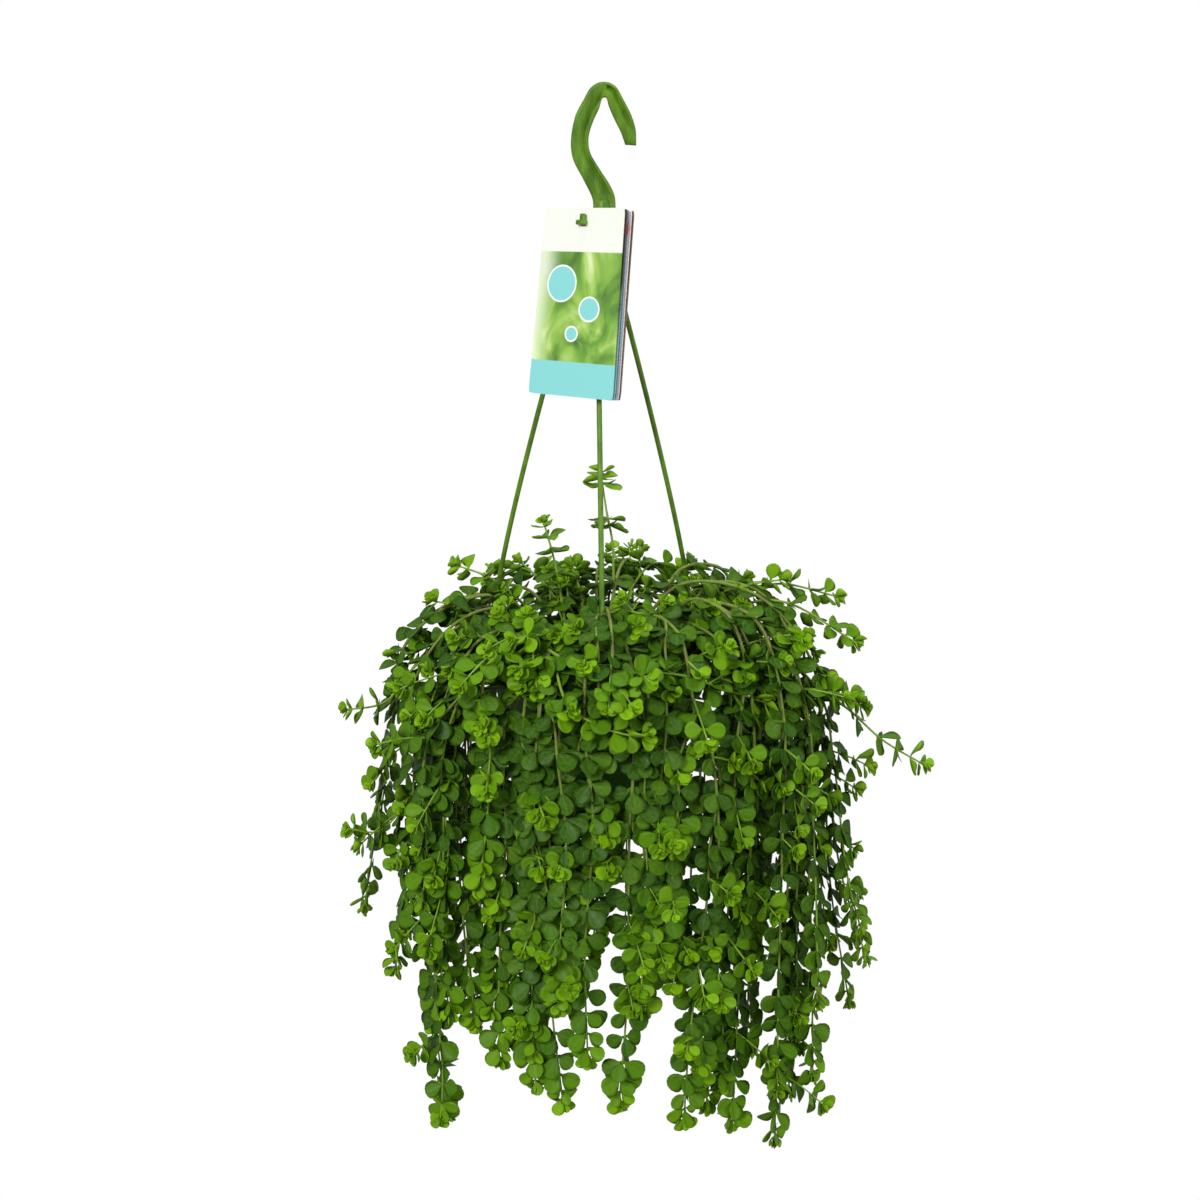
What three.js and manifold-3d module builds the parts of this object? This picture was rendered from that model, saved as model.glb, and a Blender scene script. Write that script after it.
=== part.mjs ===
// A trailing peperomia in a plastic pot that hangs from a moulded three-armed hanger, with a booklet
// of cards on the hanger. Millimetres, +Z up, front towards -Y.
// The origin is the point inside the hook that bears on whatever the plant hangs from.
import * as THREE from 'three';
import { mergeVertices } from 'three/addons/utils/BufferGeometryUtils.js';
import Module from 'manifold-3d';

const wasm = await Module();
wasm.setup();

// Overall places
const AXIS_X = -5; // the pot hangs slightly to one side of the bearing point
const RIM_TOP = -346;
const GAP = 0.4; // clearance between pieces that touch on the real object

// Pot
const RIM_RADIUS = 76;
const RIM_BAND = 12;
const RIM_WALL = 1.6;
const POT_HEIGHT = 112;
const POT_WALL = 2;
const POT_BASE_RADIUS = 54;
const POT_SIDES = 28;
const POT_FLOOR = 6; // height of the floor inside above the foot
const DRAIN_HOLES = 5;
const DRAIN_HOLE_RADIUS = 4.5;
const DRAIN_CIRCLE_RADIUS = 30;

// Soil
const SOIL_LEVEL = RIM_TOP - 10;
const SOIL_DOME = 4;
const ROOT_DEPTH = 10;
const ROOT_HOLE_RADIUS = 3.1;
const SOIL_SIDES = 20;

// Hanger
const HOOK_THICKNESS = 7;
const GROOVE_DEPTH = 1.8;
const ARM_RADIUS = 1.65;
const ARM_AZIMUTHS = [2.7, 125.5, -118.5];
const HUB_RADIUS = 9;
const HUB_TOP = -68;
const HUB_HEIGHT = 11;
const CLIP_WIDTH = 8.7;
const CLIP_RISE = 12; // height of the clip above the rim
const CLIP_LIP = 3.8; // depth of the lip under the rim's skirt
const ARM_CLEARANCE = 4.6; // between the centre lines of a stem and an arm
const CLIP_CLEARANCE = 8;
const LUG_TILT = 8.5; // degrees that the booklet's foot swings forward
const LUG_TURN = 34; // degrees that the booklet is turned to the left of the front
const LUG_LENGTH = 24;
const LUG_FRONT = 2.3; // how far it stands out of the front cover

// Booklet of cards
const CARD_WIDTH = 60.5;
const CARD_HEIGHT = 112;
const CARD_THICKNESS = 0.5;
const CARD_PITCH = 0.95;
const CARD_FAN = 0.7; // degrees between neighbouring cards
const CARD_TOP_CENTRE = new THREE.Vector3(-11.9, -22, -64.4);
const HOLE_BELOW_TOP = 8.5;

// Plant
const STEM_RADIUS = 1.7;
const STEM_SIDES = 3; // also the number of leaves in a whorl, one on each side
const LINE_STEPS = 36; // points that a stem's line is worked out at
const STEM_CLEARANCE = 4.6; // between the centre lines of two stems
const STEM_TURN = 0.8; // degrees about the pot's axis that a stem is moved at a time to find room
const STEM_TURNS = 80; // times that it is moved at most
const LEAF_LENGTH = 22;
const LEAF_VARIATION = [0.88, 1.08];
const TIP_LEAF_LENGTH = 14;
const LEAF_THICKNESS = 1.8; // at the middle of the blade
const LEAF_SLANT = [12, 48]; // degrees from square to the stem, towards its tip
const TIP_SLANT = 42;
const TRAILING_SPACING = 57; // between whorls on the stems that fall
const CROWN_SPACING = 33; // between whorls on the other stems
const WHORL_HEIGHT = 2.6; // of the roots of its leaves along the stem
const WHORL_TRIES = 6; // turns about the stem at which room is sought for a whorl
const WHORL_TURN = 0.35; // radians between two of them
const LEAF_ROOM = 1.05; // length of the room sought for a leaf, as a share of the leaf's
const BARE_FOOT = 34; // length of stem below the first whorl
const TIP_GAP = 20; // between the last whorl but one and the tip
const TUBE_MARGIN = 0.6; // kept round a stem when leaves of others are placed
const TUBE_STEP = 26; // usual length of stem between two rings
const LEAF_SEED = 11;

const degrees = THREE.MathUtils.degToRad;

// Materials
const plastic = (color) => new THREE.MeshStandardMaterial({ color, roughness: 0.45, metalness: 0 });
const hangerGreen = plastic(0x4f8f2a);
const potGreen = plastic(0x3f7d22);
const soilBrown = new THREE.MeshStandardMaterial({ color: 0x3a2a1c, roughness: 1, metalness: 0 });
const coverCard = new THREE.MeshStandardMaterial({ color: 0xdfe6cf, roughness: 0.4, metalness: 0 });
const pageCard = new THREE.MeshStandardMaterial({ color: 0xc9d6dc, roughness: 0.5, metalness: 0 });
const leafGreen = (shade) => new THREE.MeshStandardMaterial({
  color: new THREE.Color().setHSL(0.29, 0.68, shade),
  roughness: 0.5,
  metalness: 0,
});

// Solids: three.js geometry in and out of the boolean library

function solid(geometry) {
  const bare = geometry.clone();
  bare.deleteAttribute('normal');
  bare.deleteAttribute('uv');
  const merged = mergeVertices(bare, 1e-4);
  return new wasm.Manifold(new wasm.Mesh({
    numProp: 3,
    vertProperties: new Float32Array(merged.attributes.position.array),
    triVerts: new Uint32Array(merged.index.array),
  }));
}

function geometryOf(body) {
  const mesh = body.getMesh();
  const geometry = new THREE.BufferGeometry();
  geometry.setAttribute('position', new THREE.BufferAttribute(mesh.vertProperties.slice(), 3));
  geometry.setIndex(new THREE.BufferAttribute(mesh.triVerts.slice(), 1));
  geometry.computeVertexNormals();
  return geometry;
}

function piece(name, body, material) {
  const mesh = new THREE.Mesh(geometryOf(body), material);
  mesh.name = name;
  return mesh;
}

function extruded(points, depth) {
  const shape = new THREE.Shape(points.map(([x, y]) => new THREE.Vector2(x, y)));
  return new THREE.ExtrudeGeometry(shape, { depth, bevelEnabled: false });
}

function sweep(curve, radius, sides, steps) {
  const corners = Array.from({ length: sides }, (_, i) => {
    const angle = (2 * Math.PI * i) / sides;
    return new THREE.Vector2(radius * Math.cos(angle), radius * Math.sin(angle));
  });
  const settings = { steps, extrudePath: curve, bevelEnabled: false };
  return new THREE.ExtrudeGeometry(new THREE.Shape(corners), settings);
}

// A point from its distance to the pot's axis, azimuth (0 at the front, 90 to the right) and height
function around(radius, azimuth, z, aside = 0) {
  const a = degrees(azimuth);
  return new THREE.Vector3(
    AXIS_X + radius * Math.sin(a) + aside * Math.cos(a),
    -radius * Math.cos(a) + aside * Math.sin(a),
    z,
  );
}

// Hanger

const hookOuter = new THREE.CatmullRomCurve3([
  [-6.9, -67], [-7.2, -60], [-12.7, -48.4], [-18.9, -36.7], [-20.3, -26.5], [-17.4, -10.8],
  [-12.5, -1.7], [-8.2, 5.6], [-2.6, 8.9], [3.2, 8.6], [7.5, 5.6], [11, -0.8], [15.8, -9.5],
  [18.6, -18], [19, -27],
].map(([x, z]) => new THREE.Vector3(x, z, 0)));
const hookInner = new THREE.CatmullRomCurve3([
  [6.9, -67], [6.3, -58], [3.3, -51.3], [-2.9, -42], [-8.5, -32.7], [-9.7, -25.8], [-8.8, -20],
  [-6.2, -13.1], [-3.2, -7], [-1.1, -1.2], [0.9, -1], [2.6, -6], [5.8, -12.7], [9.8, -19.6],
  [12.8, -26.8],
].map(([x, z]) => new THREE.Vector3(x, z, 0)));

// The band of the hook between two shares of its width and two shares of its length
function hookBand(near, far, from, to, steps) {
  const rail = (share) => {
    const points = [];
    for (let i = 0; i <= steps; i += 1) {
      const t = from + ((to - from) * i) / steps;
      points.push(hookOuter.getPoint(t).lerp(hookInner.getPoint(t), share));
    }
    return points.map((p) => [p.x, p.y]);
  };
  return [...rail(near), ...rail(far).reverse()];
}

// Turns a flat outline drawn in X and Z into a plate centred on the plane y = 0
function upright(geometry, depth) {
  geometry.rotateX(Math.PI / 2);
  geometry.translate(0, depth / 2, 0);
  return geometry;
}

function hook() {
  const body = solid(upright(extruded(hookBand(0, 1, 0, 1, 24), HOOK_THICKNESS), HOOK_THICKNESS));
  const leftGroove = hookBand(0.3, 0.8, 0.12, 0.6, 10);
  const rightGroove = hookBand(0.22, 0.7, 0.66, 0.93, 5);
  return [leftGroove, rightGroove].reduce((rest, outline) => {
    const web = HOOK_THICKNESS - 2 * GROOVE_DEPTH;
    const cut = solid(upright(extruded(outline, HOOK_THICKNESS * 2), HOOK_THICKNESS * 2));
    const kept = solid(upright(extruded(outline, web), web));
    return rest.subtract(cut.subtract(kept));
  }, body);
}

function hub() {
  const drum = new THREE.CylinderGeometry(HUB_RADIUS - 2, HUB_RADIUS, HUB_HEIGHT, 12);
  drum.rotateX(Math.PI / 2);
  drum.translate(AXIS_X, 0, HUB_TOP - HUB_HEIGHT / 2);
  const neck = new THREE.CylinderGeometry(4.5, 7, 10, 8);
  neck.rotateX(Math.PI / 2);
  neck.translate(AXIS_X / 2, 0, HUB_TOP + 3);
  return solid(drum).add(solid(neck));
}

// Distance from the axis and height along an arm, from the hub to the rim
const armProfile = new THREE.CubicBezierCurve3(
  new THREE.Vector3(4, 0, HUB_TOP - 7),
  new THREE.Vector3(21, 0, -122),
  new THREE.Vector3(88, 0, -325),
  new THREE.Vector3(78.6, 0, -342),
);

function armCurve(azimuth) {
  const points = armProfile.getPoints(12).map((p) => around(p.x, azimuth, p.z));
  return new THREE.CatmullRomCurve3(points);
}

// A clip in its own plane: an L under the rim skirt, with round shoulders seen from the front
function clip(azimuth) {
  const outside = RIM_RADIUS + GAP;
  const skirtFoot = RIM_TOP - RIM_BAND;
  const side = extruded([
    [outside, RIM_TOP + CLIP_RISE], [outside + 3.4, RIM_TOP + CLIP_RISE], [outside + 3.9, skirtFoot + 1],
    [outside + 2.8, skirtFoot - 2.6], [outside + 0.6, skirtFoot - 3.6], [outside - CLIP_LIP, skirtFoot - 3.4],
    [outside - CLIP_LIP, skirtFoot - GAP], [outside, skirtFoot - GAP],
  ], CLIP_WIDTH);
  side.rotateX(Math.PI / 2);
  side.translate(0, CLIP_WIDTH / 2, 0);
  const half = CLIP_WIDTH / 2;
  const front = extruded([
    [-1.9, RIM_TOP + 11], [-half + 0.7, RIM_TOP + 3], [-half, RIM_TOP - 2], [-half, skirtFoot + 1],
    [-half + 1.6, skirtFoot - 4], [half - 1.6, skirtFoot - 4], [half, skirtFoot + 1], [half, RIM_TOP - 2],
    [half - 0.7, RIM_TOP + 3], [1.9, RIM_TOP + 11],
  ], 30);
  front.rotateX(Math.PI / 2);
  front.rotateZ(Math.PI / 2);
  front.translate(RIM_RADIUS - 15, 0, 0);
  const shape = geometryOf(solid(side).intersect(solid(front)));
  shape.rotateZ(degrees(azimuth - 90));
  shape.translate(AXIS_X, 0, 0);
  return solid(shape);
}

// The frame of the booklet: x across the cards, y up them, z out of the front cover
function bookletFrame() {
  const turn = degrees(LUG_TURN);
  const tilt = degrees(LUG_TILT);
  const across = new THREE.Vector3(Math.cos(turn), -Math.sin(turn), 0);
  const up = new THREE.Vector3(Math.sin(turn), Math.cos(turn), 0).multiplyScalar(Math.sin(tilt));
  up.z = Math.cos(tilt);
  const out = new THREE.Vector3().crossVectors(across, up);
  return new THREE.Matrix4().makeBasis(across, up, out).setPosition(CARD_TOP_CENTRE);
}
const cardFrame = bookletFrame();

// A lug through the cards' hole, with a wider arrow head in front of them
function lug() {
  const shaft = new THREE.BoxGeometry(2.6, 3.4, LUG_LENGTH);
  shaft.translate(0, -HOLE_BELOW_TOP, LUG_FRONT - LUG_LENGTH / 2);
  const head = extruded([[-3.6, -2.4], [3.6, -2.4], [3.6, 0.6], [0, 5], [-3.6, 0.6]], 1.6);
  head.translate(0, -HOLE_BELOW_TOP, 1.4);
  return solid(shaft.applyMatrix4(cardFrame)).add(solid(head.applyMatrix4(cardFrame)));
}

function hanger() {
  let body = hook().add(hub()).add(lug());
  for (const azimuth of ARM_AZIMUTHS) {
    body = body.add(solid(sweep(armCurve(azimuth), ARM_RADIUS, 6, 12))).add(clip(azimuth));
  }
  return body;
}

// Pot

const wallRadius = (z) => {
  const share = (z - (RIM_TOP - POT_HEIGHT)) / POT_HEIGHT;
  return POT_BASE_RADIUS + (RIM_RADIUS - 4.6 - POT_BASE_RADIUS) * share;
};

function pot() {
  const foot = RIM_TOP - POT_HEIGHT;
  const floorTop = foot + POT_FLOOR;
  const profile = [
    [0, foot + 4], [POT_BASE_RADIUS - 9, foot + 4], [POT_BASE_RADIUS - 6, foot],
    [POT_BASE_RADIUS, foot], [wallRadius(RIM_TOP - 3), RIM_TOP - 3],
    [RIM_RADIUS - RIM_WALL, RIM_TOP - 3], [RIM_RADIUS - RIM_WALL, RIM_TOP - RIM_BAND],
    [RIM_RADIUS, RIM_TOP - RIM_BAND], [RIM_RADIUS, RIM_TOP - 1.2], [RIM_RADIUS - 1.2, RIM_TOP],
    [wallRadius(RIM_TOP) - POT_WALL + 1, RIM_TOP], [wallRadius(RIM_TOP) - POT_WALL, RIM_TOP - 1.4],
    [wallRadius(floorTop) - POT_WALL, floorTop], [0, floorTop],
  ];
  const turned = new THREE.LatheGeometry(profile.map(([r, z]) => new THREE.Vector2(r, z)), POT_SIDES);
  turned.rotateX(Math.PI / 2);
  turned.translate(AXIS_X, 0, 0);
  let body = solid(turned);
  for (let i = 0; i < DRAIN_HOLES; i += 1) {
    const at = around(DRAIN_CIRCLE_RADIUS, (360 * i) / DRAIN_HOLES, foot + 4);
    body = body.subtract(drill(at, DRAIN_HOLE_RADIUS, 20, 10));
  }
  return body;
}

function drill(centre, radius, length, sides) {
  const rod = new THREE.CylinderGeometry(radius, radius, length, sides);
  rod.rotateX(Math.PI / 2);
  rod.translate(centre.x, centre.y, centre.z);
  return solid(rod);
}

// Booklet: each card turns a little further about its left edge than the one before it

function card(index) {
  const plate = new THREE.BoxGeometry(CARD_WIDTH, CARD_HEIGHT, CARD_THICKNESS);
  plate.translate(CARD_WIDTH / 2, -CARD_HEIGHT / 2, 0);
  plate.rotateY(degrees(CARD_FAN * index));
  plate.translate(-CARD_WIDTH / 2, 0, -CARD_THICKNESS / 2 - CARD_PITCH * index);
  const hole = new THREE.BoxGeometry(3.4, 4.2, 20);
  hole.translate(0, -HOLE_BELOW_TOP, -5);
  const flat = geometryOf(solid(plate).subtract(solid(hole)));
  return solid(flat.applyMatrix4(cardFrame));
}

// Plant: repeatable draws

function randomSource(seed) {
  let state = seed >>> 0;
  return () => {
    state = (Math.imul(state, 1664525) + 1013904223) >>> 0;
    return state / 4294967296;
  };
}

// A stem is an azimuth, the distance of its root from the axis, and the places that it passes through
// after it has left the soil, each a distance from the axis and a height. sway is how far its end
// drifts sideways, and wave how far it winders on the way.

const UPRIGHT_SHOOT = {
  azimuth: 60, root: 15, sway: 0, wave: 0, via: [[13, -300], [12, -274], [8, -256], [3, -228]],
};

// Stems that arch over the crown or run out sideways, and stay above the foot of the pot
const SPREADING_STEMS = [
  { azimuth: -125, root: 24, sway: 2, via: [[28, -322], [34, -292], [42, -266]] },
  { azimuth: -105, root: 32, sway: 4, via: [[46, -326], [72, -305], [98, -296]] },
  { azimuth: -88, root: 44, sway: -4, via: [[58, -331], [84, -320], [110, -315]] },
  { azimuth: 96, root: 40, sway: 4, via: [[56, -328], [92, -310], [128, -305]] },
  { azimuth: 115, root: 48, sway: 5, via: [[62, -332], [90, -320], [118, -317]] },
  { azimuth: 102, root: 50, sway: -6, via: [[72, -328], [120, -310], [168, -321]] },
  { azimuth: 84, root: 52, sway: 3, via: [[70, -328], [118, -312], [172, -340]] },
  { azimuth: 75, root: 52, sway: 8, via: [[84, -332], [132, -359], [164, -374], [190, -396], [218, -412]] },
  { azimuth: -84, root: 54, sway: 4, via: [[78, -326], [112, -346], [141, -380], [167, -384]] },
  { azimuth: -66, root: 52, sway: -8, via: [[82, -330], [112, -370], [127, -424], [152, -454], [172, -450]] },
  { azimuth: -35, root: 40, sway: 30, via: [[60, -326], [86, -318], [104, -344]] },
  { azimuth: 38, root: 42, sway: -34, via: [[62, -326], [84, -318], [100, -342]] },
  { azimuth: 158, root: 36, sway: -18, via: [[52, -326], [84, -310], [120, -322]] },
  { azimuth: 188, root: 44, sway: 16, via: [[60, -328], [94, -314], [130, -336]] },
  { azimuth: -150, root: 40, sway: 20, via: [[56, -326], [88, -312], [124, -330]] },
];

// Stems that fall from the rim: azimuth, how far out they swing, and the place of the tip
const TRAILING_SEED = 3;
const TRAILING_TIPS = [
  { azimuth: -63, swing: 126, tip: [124, -655] },
  { azimuth: -86, swing: 138, tip: [164, -544] },
  { azimuth: -70, swing: 130, tip: [146, -556] },
  { azimuth: -55, swing: 128, tip: [132, -587] },
  { azimuth: -54, swing: 118, tip: [116, -579] },
  { azimuth: -30, swing: 114, tip: [112, -602] },
  { azimuth: -31, swing: 112, tip: [110, -613] },
  { azimuth: -29, swing: 112, tip: [106, -626] },
  { azimuth: -25, swing: 108, tip: [104, -545] },
  { azimuth: -28, swing: 112, tip: [114, -487] },
  { azimuth: -52, swing: 130, tip: [134, -507] },
  { azimuth: -3, swing: 116, tip: [112, -590] },
  { azimuth: 13, swing: 114, tip: [108, -625] },
  { azimuth: 11, swing: 110, tip: [104, -514] },
  { azimuth: 16, swing: 112, tip: [106, -547] },
  { azimuth: 36, swing: 118, tip: [112, -642] },
  { azimuth: 54, swing: 126, tip: [124, -656] },
  { azimuth: 58, swing: 138, tip: [144, -673] },
  { azimuth: 38, swing: 110, tip: [112, -531] },
  { azimuth: 64, swing: 142, tip: [150, -637] },
  { azimuth: 55, swing: 118, tip: [120, -534] },
  { azimuth: 70, swing: 146, tip: [162, -624] },
  { azimuth: 70, swing: 130, tip: [140, -514] },
  { azimuth: 68, swing: 152, tip: [178, -601] },
  { azimuth: 84, swing: 154, tip: [188, -559] },
];

// The rest of the fall, round the sides and back that the list above leaves open
const BACK_STEMS = { count: 11, from: 99, to: 260, swing: [94, 138], drop: [-520, -680], seed: 7 };
const RIGHT_SHARE = 0.13; // by which they swing out further at the right than the list says
const ARCH_RISE = [12, 46]; // height of the arch above the rim
const TRAIL_ROOT = [22, 54];
const TRAIL_SWAY = 22;
const TRAIL_WAVE = 7;
const WINDING = 2.2; // radians that a stem's winding turns from one of its places to the next

const lerp = THREE.MathUtils.lerp;

// Out of the soil, over the rim and down to the tip
function fallingStem(azimuth, swing, tip, draw) {
  const rise = RIM_TOP + lerp(ARCH_RISE[0], ARCH_RISE[1], draw());
  const root = lerp(TRAIL_ROOT[0], TRAIL_ROOT[1], draw());
  const sway = lerp(-TRAIL_SWAY, TRAIL_SWAY, draw());
  const wave = lerp(-TRAIL_WAVE, TRAIL_WAVE, draw());
  const shoulder = lerp(86, swing, lerp(0.1, 0.6, draw()));
  const drift = lerp(-5, 5, draw());
  const via = [
    [lerp(root, shoulder, 0.4), rise],
    [shoulder, rise - 4],
    [lerp(shoulder, swing, 0.7) + 3, lerp(rise, tip[1], 0.15)],
    [swing, lerp(rise, tip[1], 0.38)],
    [lerp(swing, tip[0], 0.4) + drift, lerp(rise, tip[1], 0.7)],
    tip,
  ];
  return { azimuth, root, sway, wave, via };
}

function backStems() {
  const draw = randomSource(BACK_STEMS.seed);
  const stems = [];
  for (let i = 0; i < BACK_STEMS.count; i += 1) {
    const azimuth = lerp(BACK_STEMS.from, BACK_STEMS.to, i / (BACK_STEMS.count - 1));
    const toRight = 1 + RIGHT_SHARE * Math.sin(degrees(azimuth));
    const swing = toRight * lerp(BACK_STEMS.swing[0], BACK_STEMS.swing[1], draw());
    const tip = [swing - 4, lerp(BACK_STEMS.drop[0], BACK_STEMS.drop[1], draw())];
    stems.push(fallingStem(azimuth, swing, tip, draw));
  }
  return stems;
}

function trailingStems() {
  const draw = randomSource(TRAILING_SEED);
  return TRAILING_TIPS.map(({ azimuth, swing, tip }) => fallingStem(azimuth, swing, tip, draw));
}

const soilTop = (radius) => SOIL_LEVEL + SOIL_DOME * (1 - (radius / RIM_RADIUS) ** 2);

function stemCurve({ azimuth, root, sway, wave = 0, via }, shift) {
  const top = soilTop(root);
  const stations = [[root, top - ROOT_DEPTH], [root + 0.5, top + 4], ...via];
  const points = stations.map(([radius, z], i) => {
    const share = Math.max(0, i - 1) / (stations.length - 2);
    const aside = sway * share * share + wave * share * Math.sin(WINDING * i);
    return around(radius, azimuth + shift, z, aside);
  });
  return new THREE.CatmullRomCurve3(points);
}

// Centre lines already placed, as points and the distance to keep from them
const placed = [];
for (const azimuth of ARM_AZIMUTHS) {
  placed.push({ points: armCurve(azimuth).getPoints(30), keep: ARM_CLEARANCE });
  const clipPoints = [0, 4, 8].map((down) => around(RIM_RADIUS + 1, azimuth, RIM_TOP - down));
  placed.push({ points: clipPoints, keep: CLIP_CLEARANCE });
}

function distanceToSegment(point, a, b) {
  const along = b.clone().sub(a);
  const share = THREE.MathUtils.clamp(point.clone().sub(a).dot(along) / along.lengthSq(), 0, 1);
  return along.multiplyScalar(share).add(a).distanceTo(point);
}

function isClear(points) {
  return placed.every(({ points: line, keep }) => points.every((point) => {
    for (let i = 1; i < line.length; i += 1) {
      if (distanceToSegment(point, line[i - 1], line[i]) < keep) return false;
    }
    return true;
  }));
}

// Place and direction at a share of a line of evenly spaced points
function onLine(line, share) {
  const segment = Math.min(line.length - 2, Math.floor(share * (line.length - 1)));
  const from = line[segment];
  const to = line[segment + 1];
  const point = from.clone().lerp(to, share * (line.length - 1) - segment);
  return { point, along: to.clone().sub(from).normalize() };
}

// Shares of a stem's length at which its whorls stand, the last one at its tip
function whorlShares(length, spacing) {
  const leafy = length - BARE_FOOT - TIP_GAP;
  const count = Math.max(1, Math.round(leafy / spacing));
  const even = Array.from({ length: count }, (_, k) => (BARE_FOOT + (leafy * k) / count) / length);
  return [...even, 1 - WHORL_HEIGHT / length];
}

// Shares at which the tube has a ring of corners: its foot, the top of its hole, two at each whorl
// and as many between them as the longest straight stretch allows. whorl is the index of the whorl
// whose leaves grow between a ring and the next one.
function ringShares(length, spacing) {
  const half = WHORL_HEIGHT / 2 / length;
  const rings = [{ share: 0 }];
  let from = (ROOT_DEPTH + 3) / length;
  whorlShares(length, spacing).forEach((share, whorl) => {
    const stretches = Math.max(1, Math.round(((share - from) * length) / TUBE_STEP));
    for (let i = whorl === 0 ? 0 : 1; i < stretches; i += 1) {
      rings.push({ share: lerp(from, share - half, i / stretches) });
    }
    rings.push({ share: share - half, whorl }, { share: share + half });
    from = share + half;
  });
  return rings;
}

// Turns a stem about the pot's axis, in growing steps to either side, until it is clear of the others
function settled(stem) {
  for (let step = 0; step < STEM_TURNS; step += 1) {
    const shift = (step % 2 ? 1 : -1) * Math.ceil(step / 2) * STEM_TURN;
    const curve = stemCurve(stem, shift);
    const length = curve.getLength();
    const line = curve.getSpacedPoints(LINE_STEPS);
    const rings = ringShares(length, stem.spacing);
    const corners = rings.map(({ share }) => onLine(line, share).point);
    const between = (to, i) => [0.33, 0.67, 1].map((part) => corners[i].clone().lerp(to, part));
    const tested = corners.slice(1).flatMap(between);
    if (isClear(tested)) {
      placed.push({ points: corners, keep: STEM_CLEARANCE });
      const shares = whorlShares(length, stem.spacing);
      return { line, length, rings, shares, azimuth: degrees(stem.azimuth + shift), whorls: [] };
    }
  }
  throw new Error('a stem finds no clear place');
}

const spaced = (list, spacing) => list.map((stem) => ({ ...stem, spacing }));
const crownStems = spaced([UPRIGHT_SHOOT, ...SPREADING_STEMS], CROWN_SPACING);
const fallingStems = spaced([...trailingStems(), ...backStems()], TRAILING_SPACING);
const stems = [...crownStems, ...fallingStems].map(settled);

// A leafy stem is a three-sided tube. At each whorl two rings of the tube stand close together, and
// each side between them grows out into a leaf: a flat underside, and an upper side that rises to a
// ridge at the middle of the blade. The outline's corners are shares of the leaf's length and width.
const LEAF_CORNERS = [[0.5, -0.5], [0.94, -0.3], [0.94, 0.3], [0.5, 0.5]];
const LEAF_WIDTH_SHARE = 0.7;
const LEAF_CUP = 2; // how far a leaf's end rises from its plane

// The corners of the tube at a share of its length, turned about its line by turn
function ringAt(stem, share, turn, radius = STEM_RADIUS) {
  const { point, along } = onLine(stem.line, share);
  const aside = new THREE.Vector3(Math.cos(stem.azimuth), Math.sin(stem.azimuth), 0);
  const other = new THREE.Vector3().crossVectors(along, aside).normalize();
  const across = new THREE.Vector3().crossVectors(other, along);
  const corners = Array.from({ length: STEM_SIDES }, (_, i) => {
    const angle = turn + (2 * Math.PI * i) / STEM_SIDES;
    return point.clone()
      .addScaledVector(across, radius * Math.cos(angle))
      .addScaledVector(other, radius * Math.sin(angle));
  });
  return { point, along, corners };
}

// The five free corners of the leaf on one side of the tube: four of its outline and its ridge.
// slant turns the leaf from square to the stem towards the stem's tip.
function leafPoints(lower, upper, side, length, slant) {
  const next = (side + 1) % STEM_SIDES;
  const centre = lower.point.clone().lerp(upper.point, 0.5);
  const wide = lower.corners[next].clone().sub(lower.corners[side]).normalize();
  const level = new THREE.Vector3().crossVectors(wide, lower.along).normalize();
  const out = level.clone().multiplyScalar(Math.cos(slant)).addScaledVector(lower.along, Math.sin(slant));
  const up = new THREE.Vector3().crossVectors(out, wide).normalize();
  const place = (along, across, height) => centre.clone()
    .addScaledVector(out, along * length)
    .addScaledVector(wide, across * LEAF_WIDTH_SHARE * length)
    .addScaledVector(up, height);
  const outline = LEAF_CORNERS.map(([along, across]) => place(along, across, LEAF_CUP * along * along));
  return [...outline, place(0.62, 0, LEAF_CUP * 0.4 + LEAF_THICKNESS)];
}

// Triangles of a leaf from the tube's two lower and two upper corners and the five free ones
const leafFaces = ([lowA, lowB, upA, upB], [s1, c1, c2, s2, ridge]) => [
  [ridge, upA, s1], [ridge, s1, c1], [ridge, c1, c2], [ridge, c2, s2], [ridge, s2, upB], [ridge, upB, upA],
  [lowA, lowB, s2], [lowA, s2, s1], [s1, s2, c2], [s1, c2, c1], [lowA, s1, upA], [lowB, upB, s2],
];

function meshOf(points, faces) {
  const geometry = new THREE.BufferGeometry();
  geometry.setAttribute('position', new THREE.Float32BufferAttribute(points.flatMap((p) => p.toArray()), 3));
  geometry.setIndex(faces.flat());
  return geometry;
}

// One leaf closed at its root, to test whether there is room for it
function leafAlone(lower, upper, side, length, slant) {
  const next = (side + 1) % STEM_SIDES;
  const root = [lower.corners[side], lower.corners[next], upper.corners[side], upper.corners[next]];
  const points = [...root, ...leafPoints(lower, upper, side, length, slant)];
  const faces = [...leafFaces([0, 1, 2, 3], [4, 5, 6, 7, 8]), [0, 3, 1], [0, 2, 3]];
  return solid(meshOf(points, faces));
}

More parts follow.
